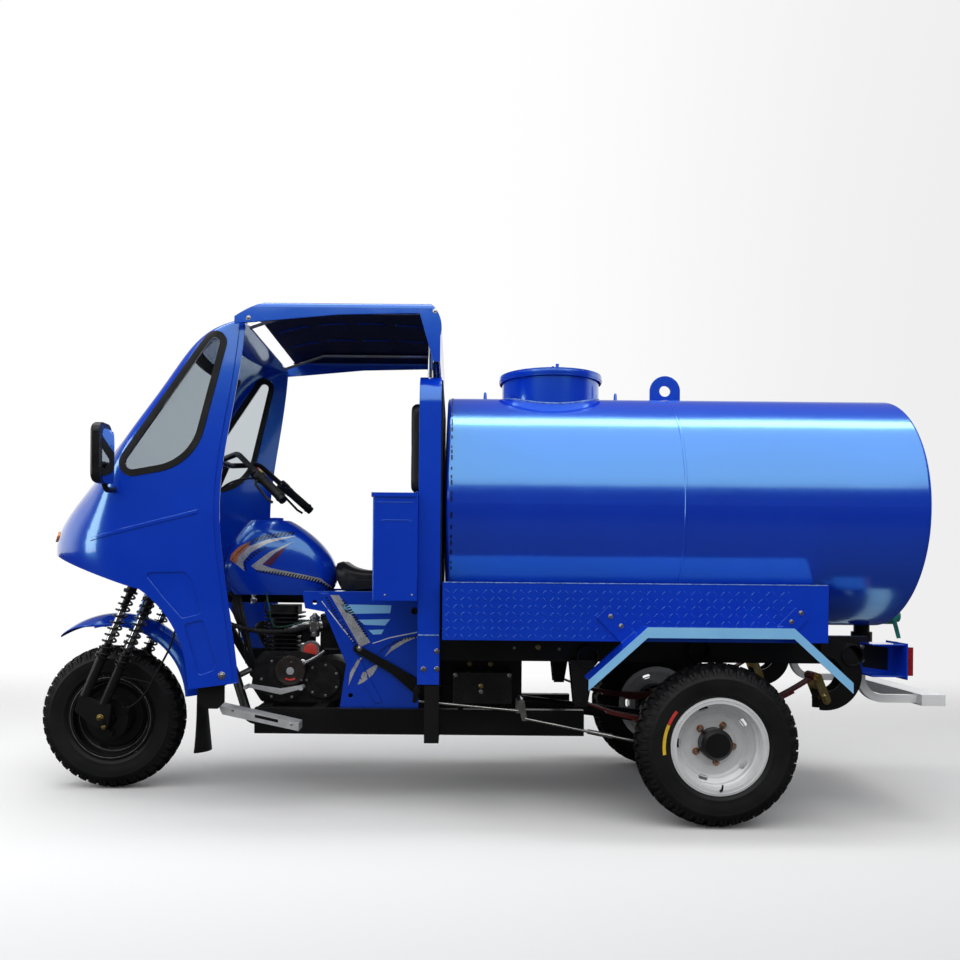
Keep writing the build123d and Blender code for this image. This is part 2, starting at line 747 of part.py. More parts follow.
# Pressings in the fairing's sides: two sunk panels behind the wheel arch and a flange down the rear edge.
press_depth = 4
flange_width = 20
pressed_panels = [
    [(-262, 866), (-410, 870), (-436, 838), (-467, 722), (-398, 704), (-330, 780)],
    [(-404, 684), (-472, 700), (-518, 545), (-506, 518), (-458, 500), (-438, 570)],
]
side_span = cab_half_width + 20
with BuildPart() as press_tool:
    with BuildSketch(lengthwise(side_span)):
        for panel in pressed_panels:
            with BuildLine():
                FilletPolyline(*[(front_axle_x + x, z) for x, z in panel], radius=12, close=True)
            make_face()
        with BuildLine():
            near_edge = cab_rear_edge(-flange_width)
            far_edge = cab_rear_edge(flange_width)
            Line(near_edge @ 0, far_edge @ 0)
            Line(near_edge @ 1, far_edge @ 1)
        make_face()
    extrude(amount=2 * side_span)
with BuildPart() as cab_pressings:
    add(cab_form(-1, 0))
    add(cab_form(press_depth, 0), mode=Mode.SUBTRACT)
    add(press_tool.part, mode=Mode.INTERSECT)

# A raised bead runs back from the nose along each side, under the windows.
bead_height = 3
bead_outline = [(-60, 978), (-452, 1078), (-452, 1091), (-66, 991)]
with BuildPart() as cab_beads:
    add(cab_form(-bead_height, 0))
    add(cab_form(1, 0), mode=Mode.SUBTRACT)
    add(prism([(front_axle_x + x, z) for x, z in bead_outline], -side_span, side_span), mode=Mode.INTERSECT)

seal_width = 24
seal_proud = 2.5


def side_window(inset):
    """Side window, a long triangle with a round foot behind the pillar, drawn through both sides."""
    with BuildPart() as window:
        with BuildSketch(lengthwise(side_span)):
            with BuildLine():
                FilletPolyline(
                    (front_axle_x - 600, 1912), (front_axle_x - 438, 1248), (front_axle_x - 109, 1187),
                    radius=[43, 200, 50], close=True,
                )
            make_face()
            offset(amount=-inset)
        extrude(amount=2 * side_span)
    return window.part


def front_window(inset):
    """Windscreen outline, drawn forward through the front wall only."""
    with BuildPart() as window:
        with BuildSketch(crosswise(cab_rear_x + 20)):
            with BuildLine():
                FilletPolyline(
                    (-365, 1235), (365, 1235), (345, 1705), (-345, 1705), radius=45, close=True
                )
            make_face()
            offset(amount=-inset)
        extrude(amount=700)
    return window.part


lamp_z = 1010
lamp_half_width = 92
lamp_half_height = 58
lamp_depth = 46


def lamp_prism(inset):
    """Headlamp outline drawn forward through the nose."""
    with BuildPart() as opening:
        with BuildSketch(crosswise(nose_tip_x - 120)):
            with Locations((0, lamp_z)):
                Ellipse(lamp_half_width - inset, lamp_half_height - inset)
        extrude(amount=160)
    return opening.part


with BuildPart() as headlamp:
    add(cab_form(0, 0))
    add(cab_form(lamp_depth, lamp_depth), mode=Mode.SUBTRACT)
    add(lamp_prism(seat_gap), mode=Mode.INTERSECT)
headlamp.part.label = "headlamp"
export_step(headlamp.part, "parts/headlamp.step")

with BuildPart() as cab_shell:
    add(cab_wall.part)
    add(lamp_prism(0), mode=Mode.SUBTRACT)
    add(cab_pressings.part, mode=Mode.SUBTRACT)
    add(cab_beads.part)
    add(cab_side.part, mode=Mode.INTERSECT)
    add(side_window(0), mode=Mode.SUBTRACT)
    add(front_window(0), mode=Mode.SUBTRACT)
cab_shell.part.label = "cab_shell"
export_step(cab_shell.part, "parts/cab_shell.step")

with BuildPart() as windscreen:
    add(cab_wall.part)
    add(front_window(seal_width + seat_gap), mode=Mode.INTERSECT)
windscreen.part.label = "windscreen"
export_step(windscreen.part, "parts/windscreen.step")

with BuildPart() as side_windows:
    add(cab_wall.part)
    add(side_window(seal_width + seat_gap), mode=Mode.INTERSECT)
side_windows.part.label = "side_windows"
export_step(side_windows.part, "parts/side_windows.step")

with BuildPart() as seal_body:
    add(cab_form(-seal_proud, 0))
    add(cab_form(cab_wall_thickness + seal_proud, cab_wall_thickness), mode=Mode.SUBTRACT)


def window_seal(outline):
    """Rubber seal in the opening of one window outline, proud of the wall on both faces."""
    with BuildPart() as seal:
        add(outline(seat_gap))
        add(outline(seal_width), mode=Mode.SUBTRACT)
        add(seal_body.part, mode=Mode.INTERSECT)
    return seal.part


with BuildPart() as window_seals:
    add(window_seal(side_window))
    add(window_seal(front_window))
window_seals.part.label = "window_seals"
export_step(window_seals.part, "parts/window_seals.step")

indicator_y = 184
indicator_depth = 7
with BuildPart() as indicators:
    with BuildSketch(crosswise(nose_tip_x - 200)):
        with Locations((-indicator_y, lamp_z - 12), (indicator_y, lamp_z - 12)):
            Ellipse(42, 20)
    extrude(amount=240)
    add(cab_form(-indicator_depth, 0), mode=Mode.INTERSECT)
    add(cab_form(-seat_gap, 0), mode=Mode.SUBTRACT)
indicators.part.label = "indicators"
export_step(indicators.part, "parts/indicators.step")

# ---------------------------------------------------------------- chassis frame
cross_tube_radius = 40
spring_y = 352
hanger_half_gap = 30
hanger_plate = 8
eye_pin_radius = 8
front_eye = (rear_axle_x + 456, 415)
rear_eye = (rear_axle_x - 393, 510)
shackle_foot = (rear_axle_x - 426, 427)
hook_middle = (rear_axle_x - 425, 520)
hook_outer = 130
hook_inner = 62
beam_y = 220
beam_half_width = 20
beam_bottom_z = 262
beam_top_z = 358
beam_rear_x = rear_axle_x + 424
beam_front_x = front_axle_x - 614
leg_x0 = rail_front_x + seat_gap
leg_x1 = leg_x0 + 52

hanger_ys = [
    (spring_y - hanger_half_gap - hanger_plate, spring_y - hanger_half_gap),
    (spring_y + hanger_half_gap, spring_y + hanger_half_gap + hanger_plate),
]
front_hanger_outline = [
    (front_eye[0] - 50, rail_bottom_z + 8), (front_eye[0] + 40, rail_bottom_z + 8),
    (front_eye[0] + 22, front_eye[1] - 20), (front_eye[0] - 22, front_eye[1] - 20),
]
front_hangers = [prism(front_hanger_outline, y0, y1) for y0, y1 in hanger_ys]
rear_hooks = []
for y0, y1 in hanger_ys:
    with BuildPart() as hook:
        with BuildSketch(lengthwise(y1)):
            with Locations(hook_middle):
                Circle(hook_outer)
                Circle(hook_inner, mode=Mode.SUBTRACT)
            with Locations((hook_middle[0] + hook_outer, hook_middle[1])):
                Rectangle(2 * hook_outer - 40, 4 * hook_outer, mode=Mode.SUBTRACT)
            with Locations(shackle_foot):
                Circle(22)
                Circle(eye_pin_radius + pin_clearance, mode=Mode.SUBTRACT)
        extrude(amount=y1 - y0)
    rear_hooks.append(hook.part)
rear_tube_x = rear_axle_x - 520
cross_tube_stations = [(rear_tube_x, 590), (rear_axle_x + 30, 605), (rear_axle_x + 434, 575)]
cross_tube_half = spring_y + hanger_half_gap + hanger_plate + 6

with BuildPart() as frame_left:
    add(block(
        rail_rear_x, rail_front_x, rail_half_spacing - rail_width / 2, rail_half_spacing + rail_width / 2,
        rail_bottom_z, rail_top_z,
    ))
    add(front_hangers)
    add(rear_hooks)
    add(block(
        front_eye[0] - 50, front_eye[0] + 40, hanger_ys[0][0], hanger_ys[1][1],
        rail_bottom_z - 6, rail_bottom_z + 8,
    ))
    add(rod(
        (front_eye[0], hanger_ys[0][0], front_eye[1]), (front_eye[0], hanger_ys[1][1] + 8, front_eye[1]),
        eye_pin_radius,
    ))
with BuildPart() as main_frame:
    add(frame_left.part)
    add(mirrored(frame_left.part))
    for tube_x, tube_z in cross_tube_stations:
        with BuildSketch(Plane(origin=(tube_x, 0, tube_z), x_dir=(1, 0, 0), z_dir=(0, -1, 0))):
            Circle(cross_tube_radius)
            Circle(cross_tube_radius - 5, mode=Mode.SUBTRACT)
        extrude(amount=cross_tube_half, both=True)
    add(block(rail_front_x - 60, rail_front_x, -rail_half_spacing, rail_half_spacing, rail_bottom_z, rail_top_z))
main_frame.part.label = "main_frame"
export_step(main_frame.part, "parts/main_frame.step")

head_bottom = on_fork(lower_clamp_at + clamp_thickness / 2 + moving_gap, 0, 0)
head_top = on_fork(upper_clamp_at - clamp_thickness / 2 - moving_gap, 0, 0)
head_length = (head_top - head_bottom).length
head_middle = on_fork(0.5 * (lower_clamp_at + upper_clamp_at), 0, 0)
spine_radius = 22
spine_z = 768
spine = tube(
    [
        (head_middle.X - 6, 0, head_middle.Z), (front_axle_x - 420, 0, spine_z), (front_axle_x - 900, 0, spine_z),
        (headboard_x + 130, 0, rail_top_z - 34), (leg_x0 + 20, 0, rail_top_z - 36),
    ],
    spine_radius, 60,
)
down_tube = tube(
    [
        on_fork(700, -10, 14), on_fork(600, -130, 60), (front_axle_x - 520, 150, 470),
        (front_axle_x - 590, beam_y, beam_bottom_z + 50), (beam_front_x - 60, beam_y, beam_bottom_z + 48),
    ],
    18, 40,
)
cab_bar_x = front_axle_x - 518
cab_bar_z = 462
cab_bar_half = 404
engine_x = front_axle_x - 735
crank_z = 455
crank_bottom_z = crank_z - 92
with BuildPart() as lower_half:
    add(block(
        beam_rear_x, beam_front_x, beam_y - beam_half_width, beam_y + beam_half_width, beam_bottom_z, beam_top_z
    ))
    add(down_tube)
    add(block(leg_x0, leg_x1, beam_y, 442, beam_bottom_z + 8, beam_bottom_z + 48))
    add(block(leg_x0, leg_x1, 414, 446, beam_bottom_z + 8, rail_bottom_z - 77 - seat_gap))
    add(block(
        leg_x0, leg_x1, beam_y - beam_half_width, beam_y + beam_half_width, beam_top_z - 4, rail_top_z - 4
    ))
with BuildPart() as lower_frame:
    add(lower_half.part)
    add(mirrored(lower_half.part))
    add(block(beam_rear_x, beam_rear_x + 60, -beam_y, beam_y, beam_bottom_z, beam_bottom_z + 34))
    for member_x in (engine_x - 150, engine_x + 60):
        add(block(member_x, member_x + 50, -beam_y, beam_y, beam_top_z - 40, crank_bottom_z - seat_gap))
    add(block(leg_x0, leg_x1, -beam_y, beam_y, rail_top_z - 64, rail_top_z - 4))
    add(rod((cab_bar_x, -cab_bar_half, cab_bar_z), (cab_bar_x, cab_bar_half, cab_bar_z), 12))
    add(spine)
    with BuildSketch(Plane(origin=head_bottom, x_dir=fork_ahead, z_dir=fork_up)):
        Circle(head_tube_radius)
    extrude(amount=head_length)
    with BuildSketch(Plane(origin=head_bottom, x_dir=fork_ahead, z_dir=fork_up)):
        Circle(stem_radius + pin_clearance)
    extrude(amount=head_length, mode=Mode.SUBTRACT)
lower_frame.part.label = "lower_frame"
export_step(lower_frame.part, "parts/lower_frame.step")

bracket_plate = 6
with BuildPart() as cab_pads:
    add(block(cab_bar_x - 22, cab_bar_x + 66, -side_span, side_span, cab_bottom_z + 18, cab_bottom_z + 72))
    add(cab_form(cab_wall_thickness + seat_gap, 0), mode=Mode.INTERSECT)
    add(block(
        cab_bar_x - 30, cab_bar_x + 80, -cab_bar_half - seat_gap, cab_bar_half + seat_gap,
        cab_bottom_z, cab_bottom_z + 90,
    ), mode=Mode.SUBTRACT)
with BuildPart() as cab_brackets:
    add(block(
        cab_bar_x - 26, cab_bar_x + 70, cab_bar_half + seat_gap, cab_bar_half + seat_gap + bracket_plate,
        cab_bottom_z - 72, cab_bottom_z + 72,
    ))
    chamfer(cab_brackets.edges().filter_by(Axis.Y).group_by(Axis.Z)[0], 24)
    mirror(about=Plane.XZ)
    add(cab_pads.part)
cab_brackets.part.label = "cab_brackets"
export_step(cab_brackets.part, "parts/cab_brackets.step")

# ---------------------------------------------------------------- springs and rear axle
leaf_width = 46
leaf_thickness = 7
leaf_count = 4
axle_tube_radius = 36
leaf_low_z = tyre_radius + axle_tube_radius + 8
leaf_top_z = leaf_low_z + leaf_count * leaf_thickness
leaf_y0 = spring_y - leaf_width / 2
leaf_y1 = spring_y + leaf_width / 2
leaf_curve = ThreePointArc(front_eye, (rear_axle_x, leaf_top_z - leaf_thickness / 2), rear_eye)
leaf_middle = leaf_curve.arc_center
leaf_radius = leaf_curve.radius
leaf_under_radius = leaf_radius + (leaf_count - 0.5) * leaf_thickness
eye_outer = eye_pin_radius + pin_clearance + leaf_thickness
seat_half_length = 40
lowest_x = max(rear_axle_x - seat_half_length, min(rear_axle_x + seat_half_length, leaf_middle.X))
leaf_seat_z = leaf_middle.Y - math.sqrt(leaf_under_radius ** 2 - (lowest_x - leaf_middle.X) ** 2)


def angle_to(point):
    """Direction from the leaf curve's middle to a point, in degrees."""
    return math.degrees(math.atan2(point[1] - leaf_middle.Y, point[0] - leaf_middle.X))


front_leaf_angle = angle_to(front_eye)
rear_leaf_angle = angle_to(rear_eye)
axle_leaf_angle = angle_to((rear_axle_x, leaf_top_z))
with BuildPart() as spring_left:
    for leaf in range(leaf_count):
        reach = 1 - 0.22 * leaf
        near = leaf_radius + (leaf - 0.5) * leaf_thickness
        first = axle_leaf_angle + reach * (front_leaf_angle - axle_leaf_angle)
        last = axle_leaf_angle + reach * (rear_leaf_angle - axle_leaf_angle)
        with BuildSketch(lengthwise(leaf_y1)):
            with BuildLine():
                low = CenterArc(leaf_middle, near + leaf_thickness, first, last - first)
                top = CenterArc(leaf_middle, near, first, last - first)
                Line(low @ 0, top @ 0)
                Line(low @ 1, top @ 1)
            make_face()
        extrude(amount=leaf_width)
    with BuildSketch(lengthwise(leaf_y1)):
        with Locations(front_eye, rear_eye):
            Circle(eye_outer)
    extrude(amount=leaf_width)
    with BuildSketch(lengthwise(leaf_y1)):
        with Locations(front_eye, rear_eye):
            Circle(eye_pin_radius + pin_clearance)
    extrude(amount=leaf_width, mode=Mode.SUBTRACT)
    add(block(rear_axle_x - 48, rear_axle_x + 48, leaf_y0 - 6, leaf_y1 + 6, leaf_top_z - 2, leaf_top_z + 8))
with BuildPart() as leaf_springs:
    add(spring_left.part)
    add(mirrored(spring_left.part))
leaf_springs.part.label = "leaf_springs"
export_step(leaf_springs.part, "parts/leaf_springs.step")

strap_y0 = hanger_ys[0][0] - 8
strap_y1 = hanger_ys[1][1] + 2
with BuildPart() as shackle_left:
    for strap_y in (strap_y0, strap_y1):
        with BuildSketch(lengthwise(strap_y + 6)):
            with Locations(shackle_foot, rear_eye):
                Circle(15)
            make_hull()
        extrude(amount=6)
    for pin_x, pin_z in (shackle_foot, rear_eye):
        add(rod((pin_x, strap_y0, pin_z), (pin_x, strap_y1 + 14, pin_z), eye_pin_radius))
with BuildPart() as spring_shackles:
    add(shackle_left.part)
    add(mirrored(shackle_left.part))
spring_shackles.part.label = "spring_shackles"
export_step(spring_shackles.part, "parts/spring_shackles.step")

drum_mouth_y = half_track + rear_disc_offset - rim_sheet - seat_gap - drum_depth
axle_plane = Plane(origin=(rear_axle_x, 0, tyre_radius), x_dir=(0, 0, 1), z_dir=(-1, 0, 0))
plate_y = drum_mouth_y - moving_gap
stub_end = half_track + rear_disc_offset + 56 - 14 - 3
shaft_end = Vector(engine_x - 215, 0, crank_z - 20)
axle_middle = Vector(rear_axle_x, 0, tyre_radius)
shaft_run = (shaft_end - axle_middle).normalized()
axle_nose = axle_middle + shaft_run * 165
with BuildPart() as rear_axle:
    with BuildSketch(axle_plane):
        with BuildLine():
            Polyline(
                (0, -stub_end), (stub_radius, -stub_end), (stub_radius, -plate_y), (drum_radius, -plate_y),
                (drum_radius, 4 - plate_y), (axle_tube_radius, 4 - plate_y), (axle_tube_radius, -120),
                (104, -58), (112, 0), (104, 58), (axle_tube_radius, 120), (axle_tube_radius, plate_y - 4),
                (drum_radius, plate_y - 4), (drum_radius, plate_y), (stub_radius, plate_y),
                (stub_radius, stub_end), (0, stub_end),
                close=True,
            )
        make_face()
    revolve(axis=Axis((rear_axle_x, 0, tyre_radius), (0, 1, 0)))
    add(rod((rear_axle_x, 0, tyre_radius), axle_nose, 42))
    for seat_y in (-spring_y, spring_y):
        add(block(
            rear_axle_x - seat_half_length, rear_axle_x + seat_half_length, seat_y - leaf_width / 2,
            seat_y + leaf_width / 2, tyre_radius, leaf_seat_z - seat_gap,
        ))
rear_axle.part.label = "rear_axle"
export_step(rear_axle.part, "parts/rear_axle.step")

# ---------------------------------------------------------------- engine and drive
crank_half_width = 120
cylinder_x = engine_x + 52
cylinder_base_z = 560
fin_count = 9
fin_pitch = 17
fin_thickness = 5
head_top_z = cylinder_base_z + fin_count * fin_pitch + 26

with BuildPart() as engine:
    with BuildSketch(lengthwise(crank_half_width)):
        with BuildLine():
            FilletPolyline(
                (engine_x - 215, crank_z - 60), (engine_x - 150, crank_bottom_z), (engine_x + 120, crank_bottom_z),
                (engine_x + 160, crank_z - 30), (engine_x + 150, crank_z + 60),
                (engine_x + 118, cylinder_base_z), (engine_x - 30, cylinder_base_z),
                (engine_x - 120, crank_z + 88), (engine_x - 215, crank_z + 60),
                radius=22, close=True,
            )
        make_face()
    extrude(amount=2 * crank_half_width)
    for cover_x, cover_z, cover_r, cover_out in (
        (engine_x + 38, crank_z, 88, 22), (engine_x - 118, crank_z - 4, 70, 14),
        (engine_x + 2, crank_z + 35, 58, 38),
    ):
        with BuildSketch(Plane(origin=(cover_x, 0, cover_z), x_dir=(1, 0, 0), z_dir=(0, -1, 0))):
            Circle(cover_r)
        extrude(amount=crank_half_width + cover_out, both=True)
    with BuildSketch(level(cylinder_base_z - 10)):
        with Locations((cylinder_x, 0)):
            Circle(52)
    extrude(amount=head_top_z - cylinder_base_z)
    for fin in range(fin_count):
        with BuildSketch(level(cylinder_base_z + 8 + fin * fin_pitch)):
            with Locations((cylinder_x, 0)):
                RectangleRounded(146, 168, 26)
        extrude(amount=fin_thickness)
    with BuildSketch(level(head_top_z - 34)):
        with Locations((cylinder_x, 0)):
            RectangleRounded(118, 132, 22)
    extrude(amount=34)
    add(rod((cylinder_x - 50, 0, head_top_z - 90), (cylinder_x - 135, 40, head_top_z - 96), 24))
    add(rod((cylinder_x - 100, 40, head_top_z - 150), (cylinder_x - 100, 40, head_top_z - 60), 30))
engine.part.label = "engine"
export_step(engine.part, "parts/engine.step")

pipe_radius = 17
muffler_y = -322
header = tube(
    [
        (cylinder_x + 73 + seat_gap, -30, head_top_z - 84), (cylinder_x + 118, -30, head_top_z - 84),
        (cylinder_x + 118, -130, cylinder_base_z + 42), (cylinder_x + 74, -192, crank_z + 36),
        (cylinder_x + 26, -216, crank_z - 40),
        (engine_x - 150, muffler_y + 40, crank_z - 60), (engine_x - 240, muffler_y, crank_z - 60),
    ],
    pipe_radius, 34,
)
with BuildPart() as exhaust:
    add(header)
    with BuildSketch(crosswise(engine_x - 620)):
        with Locations((muffler_y, crank_z - 60)):
            Circle(46)
    extrude(amount=390)
    fillet(exhaust.faces().filter_by(Axis.X).sort_by(Axis.X)[0].edges(), 12)
    add(rod((engine_x - 680, muffler_y, crank_z - 66), (engine_x - 615, muffler_y, crank_z - 60), 14))
exhaust.part.label = "exhaust"
export_step(exhaust.part, "parts/exhaust.step")

shaft_radius = 24
shaft_backset = (shaft_radius * abs(shaft_run.Z) + seat_gap) / shaft_run.X
with BuildPart() as prop_shaft:
    add(rod(axle_nose + shaft_run * seat_gap, shaft_end - shaft_run * shaft_backset, shaft_radius))
prop_shaft.part.label = "prop_shaft"
export_step(prop_shaft.part, "parts/prop_shaft.step")

with BuildPart() as battery_box:
    add(block(rear_axle_x + 700, rear_axle_x + 920, beam_y - 20, beam_y + 90, beam_top_z + 34, beam_top_z + 148))
    fillet(battery_box.edges().filter_by(Axis.Z), 8)
    for foot_x in (rear_axle_x + 720, rear_axle_x + 880):
        add(block(foot_x, foot_x + 20, beam_y - 20, beam_y + 20, beam_top_z + seat_gap, beam_top_z + 36))
battery_box.part.label = "battery_box"
export_step(battery_box.part, "parts/battery_box.step")

# ---------------------------------------------------------------- rider's place
fuel_tank_x0 = front_axle_x - 888
fuel_tank_x1 = front_axle_x - 436
fuel_tank_half_width = 128
fuel_tank_bottom_z = 780
fuel_tank_top_z = 1075
with BuildPart() as fuel_tank:
    for station_z, rear_in, front_in, share in (
        (fuel_tank_bottom_z, 30, 42, 0.78), (fuel_tank_bottom_z + 105, 0, 0, 1.0),
        (fuel_tank_bottom_z + 205, 60, 36, 0.94), (fuel_tank_top_z, 185, 110, 0.5),
    ):
        with BuildSketch(level(station_z)):
            with BuildLine():
                tail_x = fuel_tank_x0 + rear_in
                head_x = fuel_tank_x1 - front_in
                for turn in (1, -1):
                    half = turn * share * fuel_tank_half_width
                    Spline(
                        (tail_x, 0), (tail_x + 0.3 * (head_x - tail_x), 0.86 * half),
                        (tail_x + 0.72 * (head_x - tail_x), half), (head_x, 0),
                        tangents=[(0, turn), (0, -turn)],
                    )
            make_face()
    loft()
    add(block(
        fuel_tank_x0 - 20, fuel_tank_x1 + 20, -spine_radius - 4, spine_radius + 4, fuel_tank_bottom_z - 20,
        spine_z + spine_radius + seat_gap,
    ), mode=Mode.SUBTRACT)
    with BuildSketch(level(fuel_tank_top_z - 4)):
        with Locations((0.5 * (fuel_tank_x0 + fuel_tank_x1) + 20, 0)):
            Circle(30)
    extrude(amount=16)
fuel_tank.part.label = "fuel_tank"
export_step(fuel_tank.part, "parts/fuel_tank.step")

hoop_depth = 78
hoop_half_width = 450
hoop_bar = 30
hoop_top_z = 1585
hoop_bottom_z = rail_bottom_z - 77
panel_sheet = 4
board_front_x = headboard_x + hoop_depth
with BuildPart() as headboard:
    with BuildSketch(crosswise(headboard_x)):
        with BuildLine():
            FilletPolyline(
                (-hoop_half_width, hoop_bottom_z), (-hoop_half_width, hoop_top_z),
                (hoop_half_width, hoop_top_z), (hoop_half_width, hoop_bottom_z), radius=105,
            )
            Line((hoop_half_width, hoop_bottom_z), (hoop_half_width - hoop_bar, hoop_bottom_z))
            FilletPolyline(
                (hoop_half_width - hoop_bar, hoop_bottom_z), (hoop_half_width - hoop_bar, hoop_top_z - hoop_bar),
                (-hoop_half_width + hoop_bar, hoop_top_z - hoop_bar), (-hoop_half_width + hoop_bar, hoop_bottom_z),
                radius=105 - hoop_bar,
            )
            Line((-hoop_half_width + hoop_bar, hoop_bottom_z), (-hoop_half_width, hoop_bottom_z))
        make_face()
    extrude(amount=hoop_depth)
    add(block(
        headboard_x, headboard_x + panel_sheet, -hoop_half_width + 10, hoop_half_width - 10,
        rail_top_z + seat_gap, hoop_top_z - 100,
    ))
    add(block(
        headboard_x, headboard_x + panel_sheet, -hoop_half_width + 80, hoop_half_width - 80,
        hoop_top_z - 102, hoop_top_z - 10,
    ))
    for rail_z in (1205, 1455):
        add(block(
            headboard_x + panel_sheet - 1, board_front_x - 20, -hoop_half_width + 10, hoop_half_width - 10,
            rail_z, rail_z + 30,
        ))
headboard.part.label = "headboard"
export_step(headboard.part, "parts/headboard.step")

with BuildPart() as backrest:
    with BuildSketch(crosswise(board_front_x - 20 + seat_gap)):
        with Locations((0, 1342)):
            RectangleRounded(560, 356, 40)
    extrude(amount=58)
    fillet(backrest.faces().sort_by(Axis.X)[-1].edges(), 18)
backrest.part.label = "backrest"
export_step(backrest.part, "parts/backrest.step")

seat_half_width = 135
seat_base_z = 800
seat_rear_x = board_front_x + 2
seat_front_x = fuel_tank_x0 + 6
with BuildPart() as seat:
    with BuildSketch(lengthwise(seat_half_width)):
        with BuildLine():
            Spline(
                (seat_rear_x, seat_base_z + 78), (0.5 * (seat_rear_x + seat_front_x), seat_base_z + 68),
                (seat_front_x - 60, seat_base_z + 90), (seat_front_x - 20, seat_base_z + 125),
            )
            Polyline(
                (seat_front_x - 20, seat_base_z + 125), (seat_front_x - 12, seat_base_z + 60),
                (seat_front_x - 30, seat_base_z), (seat_rear_x, seat_base_z), (seat_rear_x, seat_base_z + 78),
            )
        make_face()
    extrude(amount=2 * seat_half_width)
seat.part.label = "seat"
export_step(seat.part, "parts/seat.step")

cover_y = beam_y - 15
cover_sheet = 6
cover_top_z = seat_base_z - seat_gap
cover_outline = [
    (engine_x - 50, cover_top_z), (engine_x - 62, 734), (engine_x - 136, 721), (engine_x - 220, 523),
    (engine_x - 197, beam_top_z + seat_gap), (board_front_x + 4, beam_top_z + seat_gap),
    (board_front_x + 4, cover_top_z),
]
rib_outline = [
    (engine_x - 150, cover_top_z - 8), (engine_x - 118, cover_top_z - 8), (engine_x - 268, 480),
    (engine_x - 330, beam_top_z + 20), (engine_x - 360, beam_top_z + 20), (engine_x - 300, 490),
]
with BuildPart() as side_covers:
    add(prism(cover_outline, cover_y, cover_y + cover_sheet))
    fillet(side_covers.edges().filter_by(Axis.Y).group_by(Axis.X)[-1], 10)
    add(prism(rib_outline, cover_y + cover_sheet - 1, cover_y + cover_sheet + 4))
    with BuildSketch(lengthwise(cover_y + cover_sheet + 1)):
        with Locations((engine_x - 98, 757), (engine_x - 238, 404)):
            Circle(9)
    extrude(amount=cover_sheet + 2, mode=Mode.SUBTRACT)
    add(block(board_front_x + 4, fuel_tank_x0 - 20, seat_half_width - 20, cover_y + 1, cover_top_z - 6, cover_top_z))
    mirror(about=Plane.XZ)
side_covers.part.label = "side_covers"
export_step(side_covers.part, "parts/side_covers.step")

# ---------------------------------------------------------------- tool boxes
box_inner_y = 300
box_outer_y = 497
box_x0 = board_front_x + seat_gap
box_x1 = board_front_x + 158
box_bottom_z = 776
box_top_z = 1150
box_sheet = 3
lid_skirt = 12
lid_gap = 1.5
knuckle_radius = 4
lid_axis_x = box_x0 + 5
lid_axis_z = box_top_z + seat_gap + knuckle_radius
with BuildPart() as box_left:
    add(block(box_x0, box_x1, box_inner_y, box_outer_y, box_bottom_z, box_top_z))
    fillet(box_left.edges().filter_by(Axis.Z), 8)
    add(block(
        box_x0 + box_sheet, box_x1 - box_sheet, box_inner_y + box_sheet, box_outer_y - box_sheet,
        box_bottom_z + box_sheet, box_top_z + 1,
    ), mode=Mode.SUBTRACT)
with BuildPart() as tool_boxes:
    add(box_left.part)
    add(mirrored(box_left.part))
tool_boxes.part.label = "tool_boxes"
export_step(tool_boxes.part, "parts/tool_boxes.step")

lid_x1 = box_x1 + lid_gap + box_sheet
lid_y0 = box_inner_y - lid_gap - box_sheet
lid_y1 = box_outer_y + lid_gap + box_sheet
lid_plate_z = box_top_z + seat_gap
with BuildPart() as tool_box_lid:
    add(block(lid_axis_x, lid_x1, lid_y0, lid_y1, lid_plate_z - lid_skirt, lid_plate_z + box_sheet))
    add(block(
        lid_axis_x - 1, lid_x1 - box_sheet, lid_y0 + box_sheet, lid_y1 - box_sheet,
        lid_plate_z - lid_skirt - 1, lid_plate_z,
    ), mode=Mode.SUBTRACT)
    add(rod((lid_axis_x, lid_y0, lid_axis_z), (lid_axis_x, lid_y1, lid_axis_z), knuckle_radius))
tool_box_lid.part.label = "tool_box_lid_left"
export_step(tool_box_lid.part, "parts/tool_box_lid_left.step")
tool_box_lid_right = mirrored(tool_box_lid.part)
tool_box_lid_right.label = "tool_box_lid_right"
export_step(tool_box_lid_right, "parts/tool_box_lid_right.step")

# ---------------------------------------------------------------- water tank
manhole_x = rear_axle_x + 538
neck_radius = 194
neck_wall = 5
neck_top_z = 1658
lid_radius = 204
lid_band = 28
lid_sheet = 3
head_dish = 26
head_knuckle = 14
hinge_y = -lid_radius - 9
hinge_z = neck_top_z - 16


def dished_line(grow):
    """Dished end in section, a crown on the tank's axis and a rounded knuckle, grown outward."""
    crown = ((tank_radius - head_knuckle) ** 2 + head_dish ** 2 - head_knuckle ** 2) / (
        2 * (head_dish - head_knuckle)
    )
    turn = math.degrees(math.atan2(crown - head_dish, tank_radius - head_knuckle))
    CenterArc((tank_radius - head_knuckle, 0), head_knuckle + grow, 0, turn)
    CenterArc((0, head_dish - crown), crown + grow, turn, 90 - turn)


def head_plane(start_x, direction):
    """Plane at a tank end: its x is the radius, its y bulges along the direction."""
    return Plane(origin=(start_x, 0, tank_axis_z), x_dir=(0, 0, 1), z_dir=(0, direction, 0))


def dish(start_x, direction, grow):
    """Solid dished end, flat at its rim plane and bulged along the direction."""
    with BuildPart() as cap:
        with BuildSketch(head_plane(start_x, direction)):
            with BuildLine():
                dished_line(grow)
                Polyline((0, head_dish + grow), (0, 0), (tank_radius + grow, 0))
            make_face()
        revolve(axis=Axis((start_x, 0, tank_axis_z), (1, 0, 0)))
    return cap.part


